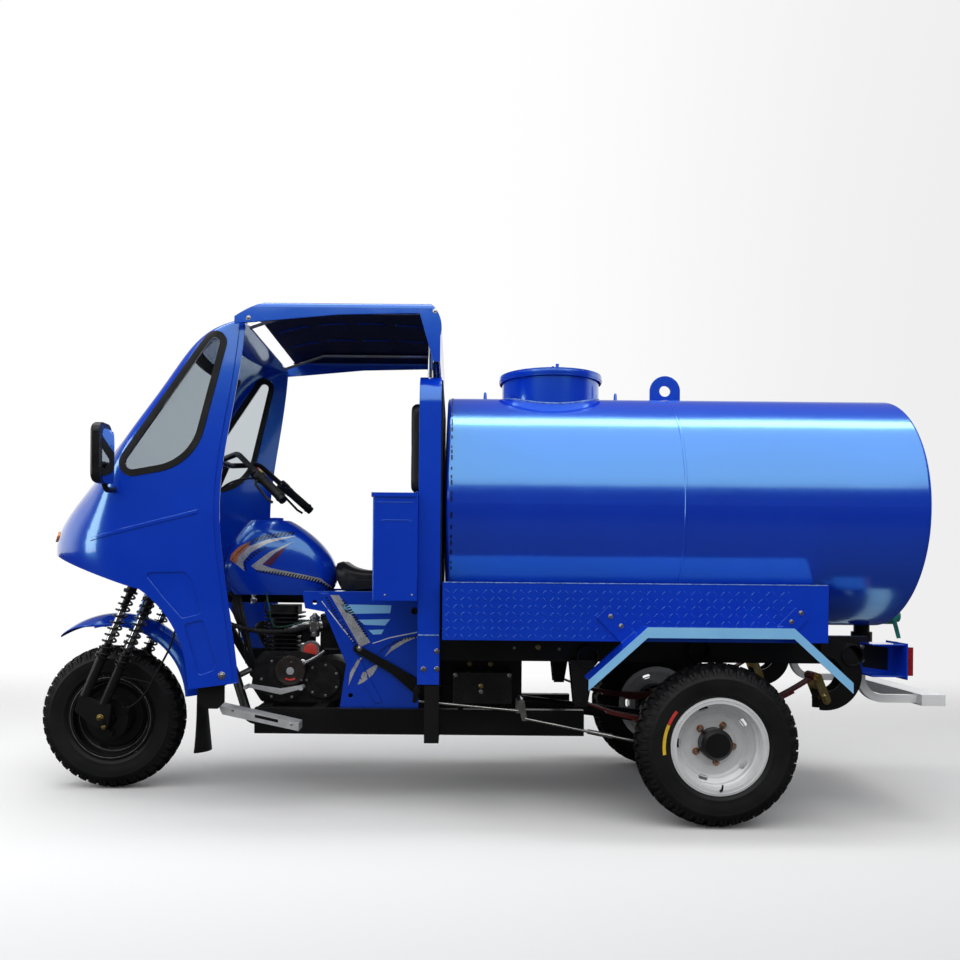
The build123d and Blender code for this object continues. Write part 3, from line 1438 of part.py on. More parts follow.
def dished_sheet(start_x, direction):
    """Dished end of the tank as one sheet of the wall's thickness."""
    with BuildPart() as sheet:
        with BuildSketch(head_plane(start_x, direction)):
            with BuildLine():
                dished_line(0)
                dished_line(-tank_wall)
                Line((0, head_dish), (0, head_dish - tank_wall))
                Line((tank_radius, 0), (tank_radius - tank_wall, 0))
            make_face()
        revolve(axis=Axis((start_x, 0, tank_axis_z), (1, 0, 0)))
    return sheet.part


with BuildPart() as tank_shell:
    with BuildSketch(Plane(origin=(tank_rear_x + seat_gap, 0, tank_axis_z), x_dir=(0, 1, 0), z_dir=(1, 0, 0))):
        Circle(tank_radius)
        Circle(tank_radius - tank_wall, mode=Mode.SUBTRACT)
    extrude(amount=tank_length - 2 * seat_gap)
    with BuildSketch(level(tank_axis_z)):
        with Locations((manhole_x, 0)):
            Circle(neck_radius - neck_wall)
    extrude(amount=tank_radius + 20, mode=Mode.SUBTRACT)
tank_shell.part.label = "tank_shell"
export_step(tank_shell.part, "parts/tank_shell.step")

with BuildPart() as tank_heads:
    add(dished_sheet(tank_front_x, 1))
    add(dished_sheet(tank_rear_x, -1))
tank_heads.part.label = "tank_heads"
export_step(tank_heads.part, "parts/tank_heads.step")

tank_outside = Pos(0.5 * (tank_rear_x + tank_front_x), 0, tank_axis_z) * Cylinder(
    tank_radius + seat_gap, tank_length + 200, rotation=(0, 90, 0)
)
with BuildPart() as manhole_neck:
    with BuildSketch(level(tank_axis_z)):
        with Locations((manhole_x, 0)):
            Circle(neck_radius)
            Circle(neck_radius - neck_wall, mode=Mode.SUBTRACT)
    extrude(amount=neck_top_z - tank_axis_z)
    add(tank_outside, mode=Mode.SUBTRACT)
    for lug_x in (manhole_x - 46, manhole_x + 34):
        add(block(lug_x, lug_x + 12, hinge_y - 7, -neck_radius + 12, hinge_z - 7, hinge_z + 7))
    add(rod((manhole_x - 46, hinge_y, hinge_z), (manhole_x + 46, hinge_y, hinge_z), 3))
manhole_neck.part.label = "manhole_neck"
export_step(manhole_neck.part, "parts/manhole_neck.step")

with BuildPart() as manhole_lid:
    with BuildSketch(level(neck_top_z + seat_gap)):
        with Locations((manhole_x, 0)):
            Circle(lid_radius)
    extrude(amount=lid_sheet)
    with BuildSketch(level(neck_top_z + seat_gap + lid_sheet - lid_band)):
        with Locations((manhole_x, 0)):
            Circle(lid_radius)
            Circle(lid_radius - lid_sheet, mode=Mode.SUBTRACT)
    extrude(amount=lid_band)
    lid_bottom_z = neck_top_z + seat_gap
    add(block(
        manhole_x - 52, manhole_x + 52, hinge_y - 10, -neck_radius + 4, hinge_z - 12, neck_top_z
    ), mode=Mode.SUBTRACT)
    knuckle_x0 = manhole_x - 28
    knuckle_x1 = manhole_x + 28
    add(rod((knuckle_x0, hinge_y, hinge_z), (knuckle_x1, hinge_y, hinge_z), 7))
    add(block(knuckle_x0, knuckle_x1, hinge_y - 7, hinge_y - 4, hinge_z, lid_bottom_z + lid_sheet))
    add(block(knuckle_x0, knuckle_x1, hinge_y - 7, -neck_radius, lid_bottom_z, lid_bottom_z + lid_sheet))
    add(rod(
        (knuckle_x0 - 2, hinge_y, hinge_z), (knuckle_x1 + 2, hinge_y, hinge_z), 3 + pin_clearance
    ), mode=Mode.SUBTRACT)
    add(prism(
        [
            (manhole_x + 12, neck_top_z + lid_sheet), (manhole_x - 12, neck_top_z + lid_sheet),
            (manhole_x - 12, neck_top_z + 46), (manhole_x - 4, neck_top_z + 46),
        ], -30, 30,
    ))
manhole_lid.part.label = "manhole_lid"
export_step(manhole_lid.part, "parts/manhole_lid.step")

lug_x = rear_axle_x + 76
lug_radius = 61
lug_hole_radius = 22
lug_centre_z = tank_axis_z + tank_radius + 44
lug_half_thickness = 5
with BuildPart() as lifting_lug:
    with BuildSketch(lengthwise(lug_half_thickness)):
        with Locations((lug_x, lug_centre_z)):
            Circle(lug_radius)
        with Locations((lug_x, lug_centre_z - 30)):
            Rectangle(2 * lug_radius, 60)
        with Locations((lug_x, lug_centre_z)):
            Circle(lug_hole_radius, mode=Mode.SUBTRACT)
    extrude(amount=2 * lug_half_thickness)
    add(tank_outside, mode=Mode.SUBTRACT)
lifting_lug.part.label = "lifting_lug"
export_step(lifting_lug.part, "parts/lifting_lug.step")

apron_y = 490
apron_sheet = 4
apron_bottom_z = 640
apron_top_z = 842
apron_rear_x = rear_axle_x - 391
apron_front_x = headboard_x - 10
shelf_inner_y = math.sqrt((tank_radius + seat_gap) ** 2 - (tank_axis_z - apron_top_z + apron_sheet) ** 2) + 1
with BuildPart() as tank_aprons:
    add(block(apron_rear_x, apron_front_x, apron_y - apron_sheet, apron_y, apron_bottom_z, apron_top_z))
    add(block(apron_rear_x, apron_front_x, shelf_inner_y - 30, apron_y, apron_top_z - apron_sheet, apron_top_z))
    mirror(about=Plane.XZ)
    add(tank_outside, mode=Mode.SUBTRACT)
tank_aprons.part.label = "tank_aprons"
export_step(tank_aprons.part, "parts/tank_aprons.step")

saddle_plate = 8
with BuildPart() as tank_saddles:
    for saddle_x in (rear_axle_x - 340, rear_axle_x + 40, rear_axle_x + 430, rear_axle_x + 830):
        add(block(
            saddle_x, saddle_x + saddle_plate, -apron_y + apron_sheet + seat_gap, apron_y - apron_sheet - seat_gap,
            rail_top_z + seat_gap, apron_top_z - apron_sheet - seat_gap,
        ))
    add(tank_outside, mode=Mode.SUBTRACT)
tank_saddles.part.label = "tank_saddles"
export_step(tank_saddles.part, "parts/tank_saddles.step")

# ---------------------------------------------------------------- mudguards
guard_outer_y = 605
guard_sheet = 3
guard_lip = 36
strap_half_width = 21
guard_top_z = 698
guard_line = [
    (rear_axle_x + 462, 518), (rear_axle_x + 264, guard_top_z), (rear_axle_x - 230, guard_top_z),
    (rear_axle_x - 430, 516),
]
guard_lip_line = [
    (rear_axle_x - 430, 516 - guard_lip), (rear_axle_x - 230, guard_top_z - guard_lip),
    (rear_axle_x + 264, guard_top_z - guard_lip), (rear_axle_x + 462, 518 - guard_lip),
]
guard_under_line = [
    (rear_axle_x - 428, 516 - guard_sheet * 1.5), (rear_axle_x - 230, guard_top_z - guard_sheet),
    (rear_axle_x + 264, guard_top_z - guard_sheet), (rear_axle_x + 460, 518 - guard_sheet * 1.5),
]
with BuildPart() as mudguard_left:
    add(prism(guard_line + guard_under_line, apron_y + seat_gap, guard_outer_y))
    add(prism(guard_line + guard_lip_line, guard_outer_y - guard_sheet, guard_outer_y))
    for top_x, foot_x in ((rear_axle_x + 399, rear_axle_x + 296), (rear_axle_x - 298, rear_axle_x - 232)):
        lean = math.copysign(strap_half_width, top_x - foot_x)
        foot_z = guard_top_z + 46 - abs(top_x - foot_x)
        add(prism(
            [
                (top_x - strap_half_width, guard_top_z + 46 + lean),
                (top_x + strap_half_width, guard_top_z + 46 - lean),
                (foot_x + strap_half_width, foot_z - lean), (foot_x - strap_half_width, foot_z + lean),
            ], apron_y + seat_gap, apron_y + seat_gap + 5,
        ))
with BuildPart() as mudguards:
    add(mudguard_left.part)
    add(mirrored(mudguard_left.part))
mudguards.part.label = "mudguards"
export_step(mudguards.part, "parts/mudguards.step")

# ---------------------------------------------------------------- rear end
bracket_x0 = rail_rear_x - 85
bracket_x1 = rail_rear_x + 29
bracket_y0 = rail_half_spacing + rail_width / 2 + seat_gap
with BuildPart() as lamp_left:
    add(block(bracket_x0, bracket_x1, bracket_y0, bracket_y0 + 5, 520, 636))
    add(block(bracket_x0, bracket_x1, bracket_y0, 458, 631, 636))
    add(block(bracket_x0, bracket_x1, bracket_y0, 458, 520, 525))
    add(block(bracket_x0 - 5, bracket_x0, bracket_y0 - 40, 470, 512, 640))
    add(block(bracket_x0 - 27, bracket_x0 - 5, bracket_y0 + 6, 462, 526, 626))
with BuildPart() as rear_lamps:
    add(lamp_left.part)
    add(mirrored(lamp_left.part))
rear_lamps.part.label = "rear_lamps"
export_step(rear_lamps.part, "parts/rear_lamps.step")

bumper_bar_z = 428
bumper_y = 330
arm_half = 14
bumper_rear_x = rail_rear_x - 272
with BuildPart() as bumper_arm:
    with BuildLine() as arm_route:
        FilletPolyline(
            (rail_rear_x + 16, bumper_y, rail_bottom_z - seat_gap), (rail_rear_x + 16, bumper_y, bumper_bar_z),
            (bumper_rear_x + 80, bumper_y, bumper_bar_z), radius=80,
        )
    with BuildSketch(Plane(origin=arm_route.line @ 0, z_dir=arm_route.line % 0)):
        Rectangle(2 * arm_half, 2 * arm_half)
    sweep()
with BuildPart() as rear_bumper:
    add(bumper_arm.part)
    add(mirrored(bumper_arm.part))
    add(block(bumper_rear_x, bumper_rear_x + 86, -380, 380, bumper_bar_z - 20, bumper_bar_z + 20))
rear_bumper.part.label = "rear_bumper"
export_step(rear_bumper.part, "parts/rear_bumper.step")

valve_z = tank_axis_z - tank_radius + 38
valve_x = tank_rear_x - 5
valve_bore = 16
with BuildPart() as drain_valve:
    add(rod((valve_x, 0, valve_z), (valve_x - 105, 0, valve_z), 24))
    add(rod((valve_x - 30, 0, valve_z), (valve_x - 82, 0, valve_z), 33))
    add(rod((valve_x - 56, 0, valve_z), (valve_x - 56, 0, valve_z + 46), 9))
    add(rod((valve_x - 106, 0, valve_z), (valve_x - 92, 0, valve_z), valve_bore), mode=Mode.SUBTRACT)
    add(prism(
        [
            (valve_x - 48, valve_z + 40), (valve_x - 64, valve_z + 46), (valve_x - 98, valve_z - 86),
            (valve_x - 84, valve_z - 88),
        ], 34, 40,
    ))
    add(block(valve_x - 64, valve_x - 48, -8, 40, valve_z + 34, valve_z + 46))
    add(dish(tank_rear_x, -1, seat_gap), mode=Mode.SUBTRACT)
drain_valve.part.label = "drain_valve"
export_step(drain_valve.part, "parts/drain_valve.step")

with BuildPart() as outlet_pipe:
    add(rod((tank_rear_x + 37, 0, 606), (tank_rear_x + 37, 0, tank_axis_z - 200), 30))
    add(rod((tank_rear_x + 37, 0, 600), (tank_rear_x + 37, 0, 650), 40))
    add(tank_outside, mode=Mode.SUBTRACT)
outlet_pipe.part.label = "outlet_pipe"
export_step(outlet_pipe.part, "parts/outlet_pipe.step")

# ---------------------------------------------------------------- tubes, mirrors, foot controls, lamps
roof_tube_y = 340
roof_tube_radius = 9
arch_span = roof_half_width - 24
arch_rise = roof_crown_z - roof_edge_z
arch_radius = (arch_span ** 2 + arch_rise ** 2) / (2 * arch_rise)
arch_drop = arch_radius - math.sqrt(arch_radius ** 2 - roof_tube_y ** 2)
roof_tube_z = roof_crown_z - arch_drop - roof_sheet - 1 - roof_tube_radius
roof_tube = tube(
    [
        (headboard_x + 44, roof_tube_y, hoop_top_z + seat_gap), (headboard_x + 44, roof_tube_y, roof_tube_z),
        (cab_rear_x - 170, roof_tube_y, roof_tube_z), (cab_rear_x + 40, roof_tube_y, cab_top_z - 18),
    ],
    roof_tube_radius, 36,
)
with BuildPart() as roof_tubes:
    add(roof_tube)
    add(mirrored(roof_tube))
    with BuildSketch(crosswise(cab_rear_x - seat_gap)):
        with Locations((0, cab_top_z)):
            Rectangle(2 * roof_half_width, 200)
    extrude(amount=80, mode=Mode.SUBTRACT)
roof_tubes.part.label = "roof_tubes"
export_step(roof_tubes.part, "parts/roof_tubes.step")

mirror_x = front_axle_x - 140
mirror_y = cab_half_width + 86
mirror_z = 1276
with BuildPart() as mirror_left:
    with BuildSketch(Plane(origin=(mirror_x - 18, mirror_y, mirror_z), x_dir=(0, 1, 0), z_dir=(1, 0, 0))):
        RectangleRounded(116, 208, 34)
    extrude(amount=34)
    fillet(mirror_left.faces().sort_by(Axis.X)[-1].edges(), 14)
    add(tube(
        [
            (mirror_x, mirror_y - 20, mirror_z - 80), (mirror_x - 6, mirror_y - 40, mirror_z - 122),
            (mirror_x - 20, cab_half_width - 70, mirror_z - 112),
        ],
        10, 16,
    ))
with BuildPart() as mirrors:
    add(mirror_left.part)
    add(mirrored(mirror_left.part))
    add(cab_form(-seat_gap, 0), mode=Mode.SUBTRACT)
mirrors.part.label = "mirrors"
export_step(mirrors.part, "parts/mirrors.step")

step_y = 345
with BuildPart() as foot_left:
    add(prism(
        [
            (front_axle_x - 516, 388), (front_axle_x - 530, 356), (front_axle_x - 806, 298),
            (front_axle_x - 806, 326),
        ], step_y - 40, step_y + 40,
    ))
    add(rod(
        (front_axle_x - 640, beam_y + beam_half_width + seat_gap, beam_top_z - 24),
        (front_axle_x - 640, step_y - 30, beam_top_z - 24), 11,
    ))
with BuildPart() as foot_steps:
    add(foot_left.part)
    add(mirrored(foot_left.part))
foot_steps.part.label = "foot_steps"
export_step(foot_steps.part, "parts/foot_steps.step")

# ---------------------------------------------------------------- levers and brake linkage
lever_y = cover_y + cover_sheet + 5 + seat_gap
lever_pivot = (engine_x - 495, 439)
lever_knee = (engine_x - 400, 506)
lever_end = (engine_x - 262, 583)
linkage_y = 320
with BuildPart() as hand_lever:
    for near, far, near_radius, far_radius in (
        (lever_pivot, lever_knee, 27, 17), (lever_knee, lever_end, 17, 14),
    ):
        with BuildSketch(lengthwise(lever_y + 14)):
            with Locations(near):
                Circle(near_radius)
            with Locations(far):
                Circle(far_radius)
            make_hull()
        extrude(amount=12)
    add(rod(
        (lever_pivot[0], cover_y + cover_sheet + seat_gap, lever_pivot[1]),
        (lever_pivot[0], linkage_y + 6, lever_pivot[1]), 12,
    ))
    add(prism(
        [
            (lever_pivot[0] - 12, lever_pivot[1]), (lever_pivot[0] + 12, lever_pivot[1]),
            (lever_pivot[0] + 17, lever_pivot[1] - 44), (lever_pivot[0] + 1, lever_pivot[1] - 44),
        ], linkage_y - 4, linkage_y + 4,
    ))
hand_lever.part.label = "hand_lever"
export_step(hand_lever.part, "parts/hand_lever.step")

# A cross shaft on the lower beams turns the pull of the front rod into a pull on both brake rods.
cross_shaft = (rear_axle_x + 668, beam_top_z + 44)
front_rod_end = (lever_pivot[0] + 9, linkage_y, lever_pivot[1] - 37)
front_rod_tail = (cross_shaft[0] + 10, linkage_y, cross_shaft[1] - 34)
brake_rod_y = 300
brake_rod_start = (cross_shaft[0] - 16, brake_rod_y, cross_shaft[1] - 66)
brake_cam = (rear_axle_x + 66, tyre_radius + 15)
brake_lever_y = plate_y - 14
brake_rod_end = (brake_cam[0] + 18, brake_lever_y, brake_cam[1] - 62)
with BuildPart() as linkage_left:
    add(block(
        cross_shaft[0] - 14, cross_shaft[0] + 14, beam_y - 10, beam_y + 10, beam_top_z + seat_gap, cross_shaft[1]
    ))
    add(prism(
        [
            (cross_shaft[0] - 14, cross_shaft[1]), (cross_shaft[0] + 14, cross_shaft[1]),
            (brake_rod_start[0] + 10, brake_rod_start[2] - 8), (brake_rod_start[0] - 10, brake_rod_start[2] - 8),
        ], brake_rod_y - 3, brake_rod_y + 3,
    ))
    add(rod(brake_rod_start, brake_rod_end, 5))
    rod_line = Edge.make_line(brake_rod_start, brake_rod_end)
    add(rod(rod_line @ 0.40, rod_line @ 0.56, 9))
    add(prism(
        [
            (brake_cam[0] - 13, brake_cam[1] + 8), (brake_cam[0] + 13, brake_cam[1] + 8),
            (brake_rod_end[0] + 9, brake_rod_end[2] - 9), (brake_rod_end[0] - 9, brake_rod_end[2] - 9),
        ], brake_lever_y - 3, brake_lever_y + 3,
    ))
    add(rod(
        (brake_cam[0], brake_lever_y - 6, brake_cam[1]), (brake_cam[0], plate_y - 4 - seat_gap, brake_cam[1]), 9
    ))
with BuildPart() as brake_linkage:
    add(linkage_left.part)
    add(mirrored(linkage_left.part))
    add(rod((cross_shaft[0], -brake_rod_y - 4, cross_shaft[1]), (cross_shaft[0], linkage_y + 5, cross_shaft[1]), 9))
    add(prism(
        [
            (cross_shaft[0] - 12, cross_shaft[1]), (cross_shaft[0] + 12, cross_shaft[1]),
            (front_rod_tail[0] + 8, front_rod_tail[2] - 8), (front_rod_tail[0] - 8, front_rod_tail[2] - 8),
        ], linkage_y - 3, linkage_y + 3,
    ))
    add(rod(front_rod_tail, (front_rod_end[0] - 16, linkage_y, front_rod_end[2] - 2), 5))
brake_linkage.part.label = "brake_linkage"
export_step(brake_linkage.part, "parts/brake_linkage.step")

# The gear rocker on the left and the brake pedal on the right turn on stubs from the crankcase.
rocker_y = crank_half_width + 58
rocker_pivot = (engine_x + 34, 412)
rocker_front = (engine_x + 157, 434)
rocker_rear = (engine_x - 52, 432)
with BuildPart() as foot_controls:
    for turn, pads in ((1, (rocker_front, rocker_rear)), (-1, (rocker_front,))):
        for pad in pads:
            with BuildSketch(lengthwise(turn * rocker_y + 4)):
                with Locations(rocker_pivot):
                    Circle(11)
                with Locations(pad):
                    Circle(7)
                make_hull()
            extrude(amount=8)
            add(rod((pad[0], turn * rocker_y, pad[1]), (pad[0], turn * (rocker_y + 58), pad[1]), 8))
        add(rod(
            (rocker_pivot[0], turn * (crank_half_width + 22 + seat_gap), rocker_pivot[1]),
            (rocker_pivot[0], turn * (rocker_y + 8), rocker_pivot[1]), 9,
        ))
foot_controls.part.label = "foot_controls"
export_step(foot_controls.part, "parts/foot_controls.step")
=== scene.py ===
import json
import math

import bmesh
import bpy
from mathutils import Matrix, Vector, noise
from mathutils.bvhtree import BVHTree


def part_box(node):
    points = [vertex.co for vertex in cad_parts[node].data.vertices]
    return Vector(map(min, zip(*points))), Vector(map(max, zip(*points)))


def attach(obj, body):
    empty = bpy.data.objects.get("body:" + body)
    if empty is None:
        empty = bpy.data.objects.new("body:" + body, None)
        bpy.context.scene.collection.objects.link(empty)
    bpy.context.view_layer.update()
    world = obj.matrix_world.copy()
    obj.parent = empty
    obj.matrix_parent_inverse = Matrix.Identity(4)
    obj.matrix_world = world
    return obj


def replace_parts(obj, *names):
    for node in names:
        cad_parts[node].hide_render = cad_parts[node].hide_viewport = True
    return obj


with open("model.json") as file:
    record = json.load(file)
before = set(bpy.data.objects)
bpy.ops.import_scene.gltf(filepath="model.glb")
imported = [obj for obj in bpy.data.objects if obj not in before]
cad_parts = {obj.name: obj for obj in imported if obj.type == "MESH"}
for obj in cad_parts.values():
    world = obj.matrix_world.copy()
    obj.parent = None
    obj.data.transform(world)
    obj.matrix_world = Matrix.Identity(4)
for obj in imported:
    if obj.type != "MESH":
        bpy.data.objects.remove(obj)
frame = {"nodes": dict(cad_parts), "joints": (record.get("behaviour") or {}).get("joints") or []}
NODES = frame["nodes"]
JOINTS = {joint["name"]: joint for joint in frame["joints"]}
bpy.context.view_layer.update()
MM = 0.001
SIDES = (("left", 1), ("right", -1))
LEFT = (0, 1, 0)
DUST = (0.10, 0.095, 0.085)

# ------------------------------------------------------------------ places taken from the frame
FRONT_AXLE = Vector(JOINTS["front_wheel_spin"]["pos_m"])
REAR_X = JOINTS["rear_left_wheel_spin"]["pos_m"][0]
FORK_UP = Vector(JOINTS["steering_turn"]["axis"]).normalized()
TYRE_R = FRONT_AXLE.z
TANK_HIGH = Vector(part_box("tank_shell")[1])
TANK_R = (TANK_HIGH.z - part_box("tank_heads")[0][2]) / 2
TANK_Z = TANK_HIGH.z - TANK_R


def mm(x, y, z):
    """Point given in millimetres."""
    return Vector((x, y, z)) * MM


def box_mm(node):
    """The two corners of a node's box, in millimetres."""
    return [Vector(corner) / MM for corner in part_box(node)]


def linked(name, data):
    """New object in the scene that shows the data."""
    thing = bpy.data.objects.new(name, data)
    bpy.context.scene.collection.objects.link(thing)
    return thing


# ------------------------------------------------------------------ camera
def make_camera():
    """Camera level with the cab's nose, beside the machine's left, rolled by half a degree."""
    data = bpy.data.cameras.new("camera")
    camera = linked("camera", data)
    data.lens = 33.80
    data.sensor_width = 36.0
    data.shift_x = 0.0250
    data.shift_y = 0.0919
    data.clip_end = 200.0
    place = Matrix.Translation((REAR_X + 0.9116, 3.6383, 0.8911))
    aim = Matrix.Rotation(math.pi, 4, "Z") @ Matrix.Rotation(math.pi / 2, 4, "X")
    roll = Matrix.Rotation(math.radians(0.504), 4, "Z")
    camera.matrix_world = place @ aim @ roll
    bpy.context.scene.camera = camera


# ------------------------------------------------------------------ materials
def new_material(name):
    """Material with its tree and its shader."""
    material = bpy.data.materials.new(name)
    material.use_nodes = True
    tree = material.node_tree
    return material, tree, tree.nodes["Principled BSDF"]


def feed(tree, socket, value):
    """A socket takes a link from another socket, or a plain value."""
    if isinstance(value, bpy.types.NodeSocket):
        tree.links.new(value, socket)
    else:
        socket.default_value = value


def node_with(tree, kind, **inputs):
    """New node whose inputs are given by name, with underscores for spaces."""
    node = tree.nodes.new("ShaderNode" + kind)
    for name, value in inputs.items():
        feed(tree, node.inputs[name.replace("_", " ")], value)
    return node


def maths(tree, operation, first, second):
    """Result of a calculation on two values."""
    node = tree.nodes.new("ShaderNodeMath")
    node.operation = operation
    feed(tree, node.inputs[0], first)
    feed(tree, node.inputs[1], second)
    return node.outputs["Value"]


def noise_value(tree, scale, detail=4.0):
    """Noise read in object coordinates, so that it stays with the piece."""
    coords = tree.nodes.new("ShaderNodeTexCoord")
    return node_with(
        tree, "TexNoise", Detail=detail, Roughness=0.55, Scale=scale, Vector=coords.outputs["Object"]
    ).outputs["Fac"]


def mapped(tree, source, low, high, to_low, to_high, kind="SMOOTHSTEP"):
    """A value taken from one range to another and held at the ends."""
    node = node_with(
        tree, "MapRange", From_Min=low, From_Max=high, To_Min=to_low, To_Max=to_high, Value=source
    )
    node.interpolation_type = kind
    return node.outputs["Result"]


def tint(tree, source, first, second):
    """Two colours blended by a source value."""
    ramp = node_with(tree, "ValToRGB", Fac=source)
    for element, place, colour in zip(ramp.color_ramp.elements, (0.35, 0.65), (first, second)):
        element.position = place
        element.color = (*colour, 1)
    return ramp.outputs["Color"]


def dusted(tree, colour, amount):
    """The colour with dust clouded over the faces that look up."""
    normal = tree.nodes.new("ShaderNodeNewGeometry").outputs["Normal"]
    up = mapped(tree, node_with(tree, "SeparateXYZ", Vector=normal).outputs["Z"], 0.2, 1.0, 0.0, amount, "LINEAR")
    mix = tree.nodes.new("ShaderNodeMix")
    mix.data_type = "RGBA"
    feed(tree, mix.inputs["Factor"], maths(tree, "MULTIPLY", up, noise_value(tree, 11.0, 6.0)))
    feed(tree, mix.inputs[6], colour)
    mix.inputs[7].default_value = (*DUST, 1)
    return mix.outputs[2]


def surface(name, first, second, rough=(0.3, 0.4), metal=0.0, coat=0.0, scale=30.0, grain=None, coat_rough=0.04,
            specular=0.5, patch=3.0, wave=None, dust=None, rounded=None, ior=1.5, gleam=(1.0, 1.0, 1.0)):
    """Finish with colour and roughness that vary over the surface, a fine grain and dust in upward faces."""
    material, tree, shader = new_material(name)
    colour = tint(tree, noise_value(tree, patch, 3.0), first, second)
    if dust:
        colour = dusted(tree, colour, dust)
    for socket, value in (
        ("Base Color", colour), ("Metallic", metal), ("Coat Weight", coat), ("Coat Roughness", coat_rough),
        ("Roughness", mapped(tree, noise_value(tree, scale, 6.0), 0.0, 1.0, *rough, "LINEAR")),
        ("Specular IOR Level", specular), ("IOR", ior), ("Specular Tint", (*gleam, 1)),
    ):
        feed(tree, shader.inputs[socket], value)
    under = None
    if rounded:
        under = node_with(tree, "Bevel", Radius=rounded)
        under.samples = 4
    for relief, detail in ((wave, 2.0), (grain, 5.0)):
        if relief:
            size, strength, depth = relief
            over = node_with(
                tree, "Bump", Strength=strength, Distance=depth, Height=noise_value(tree, size, detail)
            )
            if under:
                feed(tree, over.inputs["Normal"], under.outputs["Normal"])
            under = over
    if under:
        feed(tree, shader.inputs["Normal"], under.outputs["Normal"])
    if rounded:
        feed(tree, shader.inputs["Coat Normal"], under.outputs["Normal"])
    return material


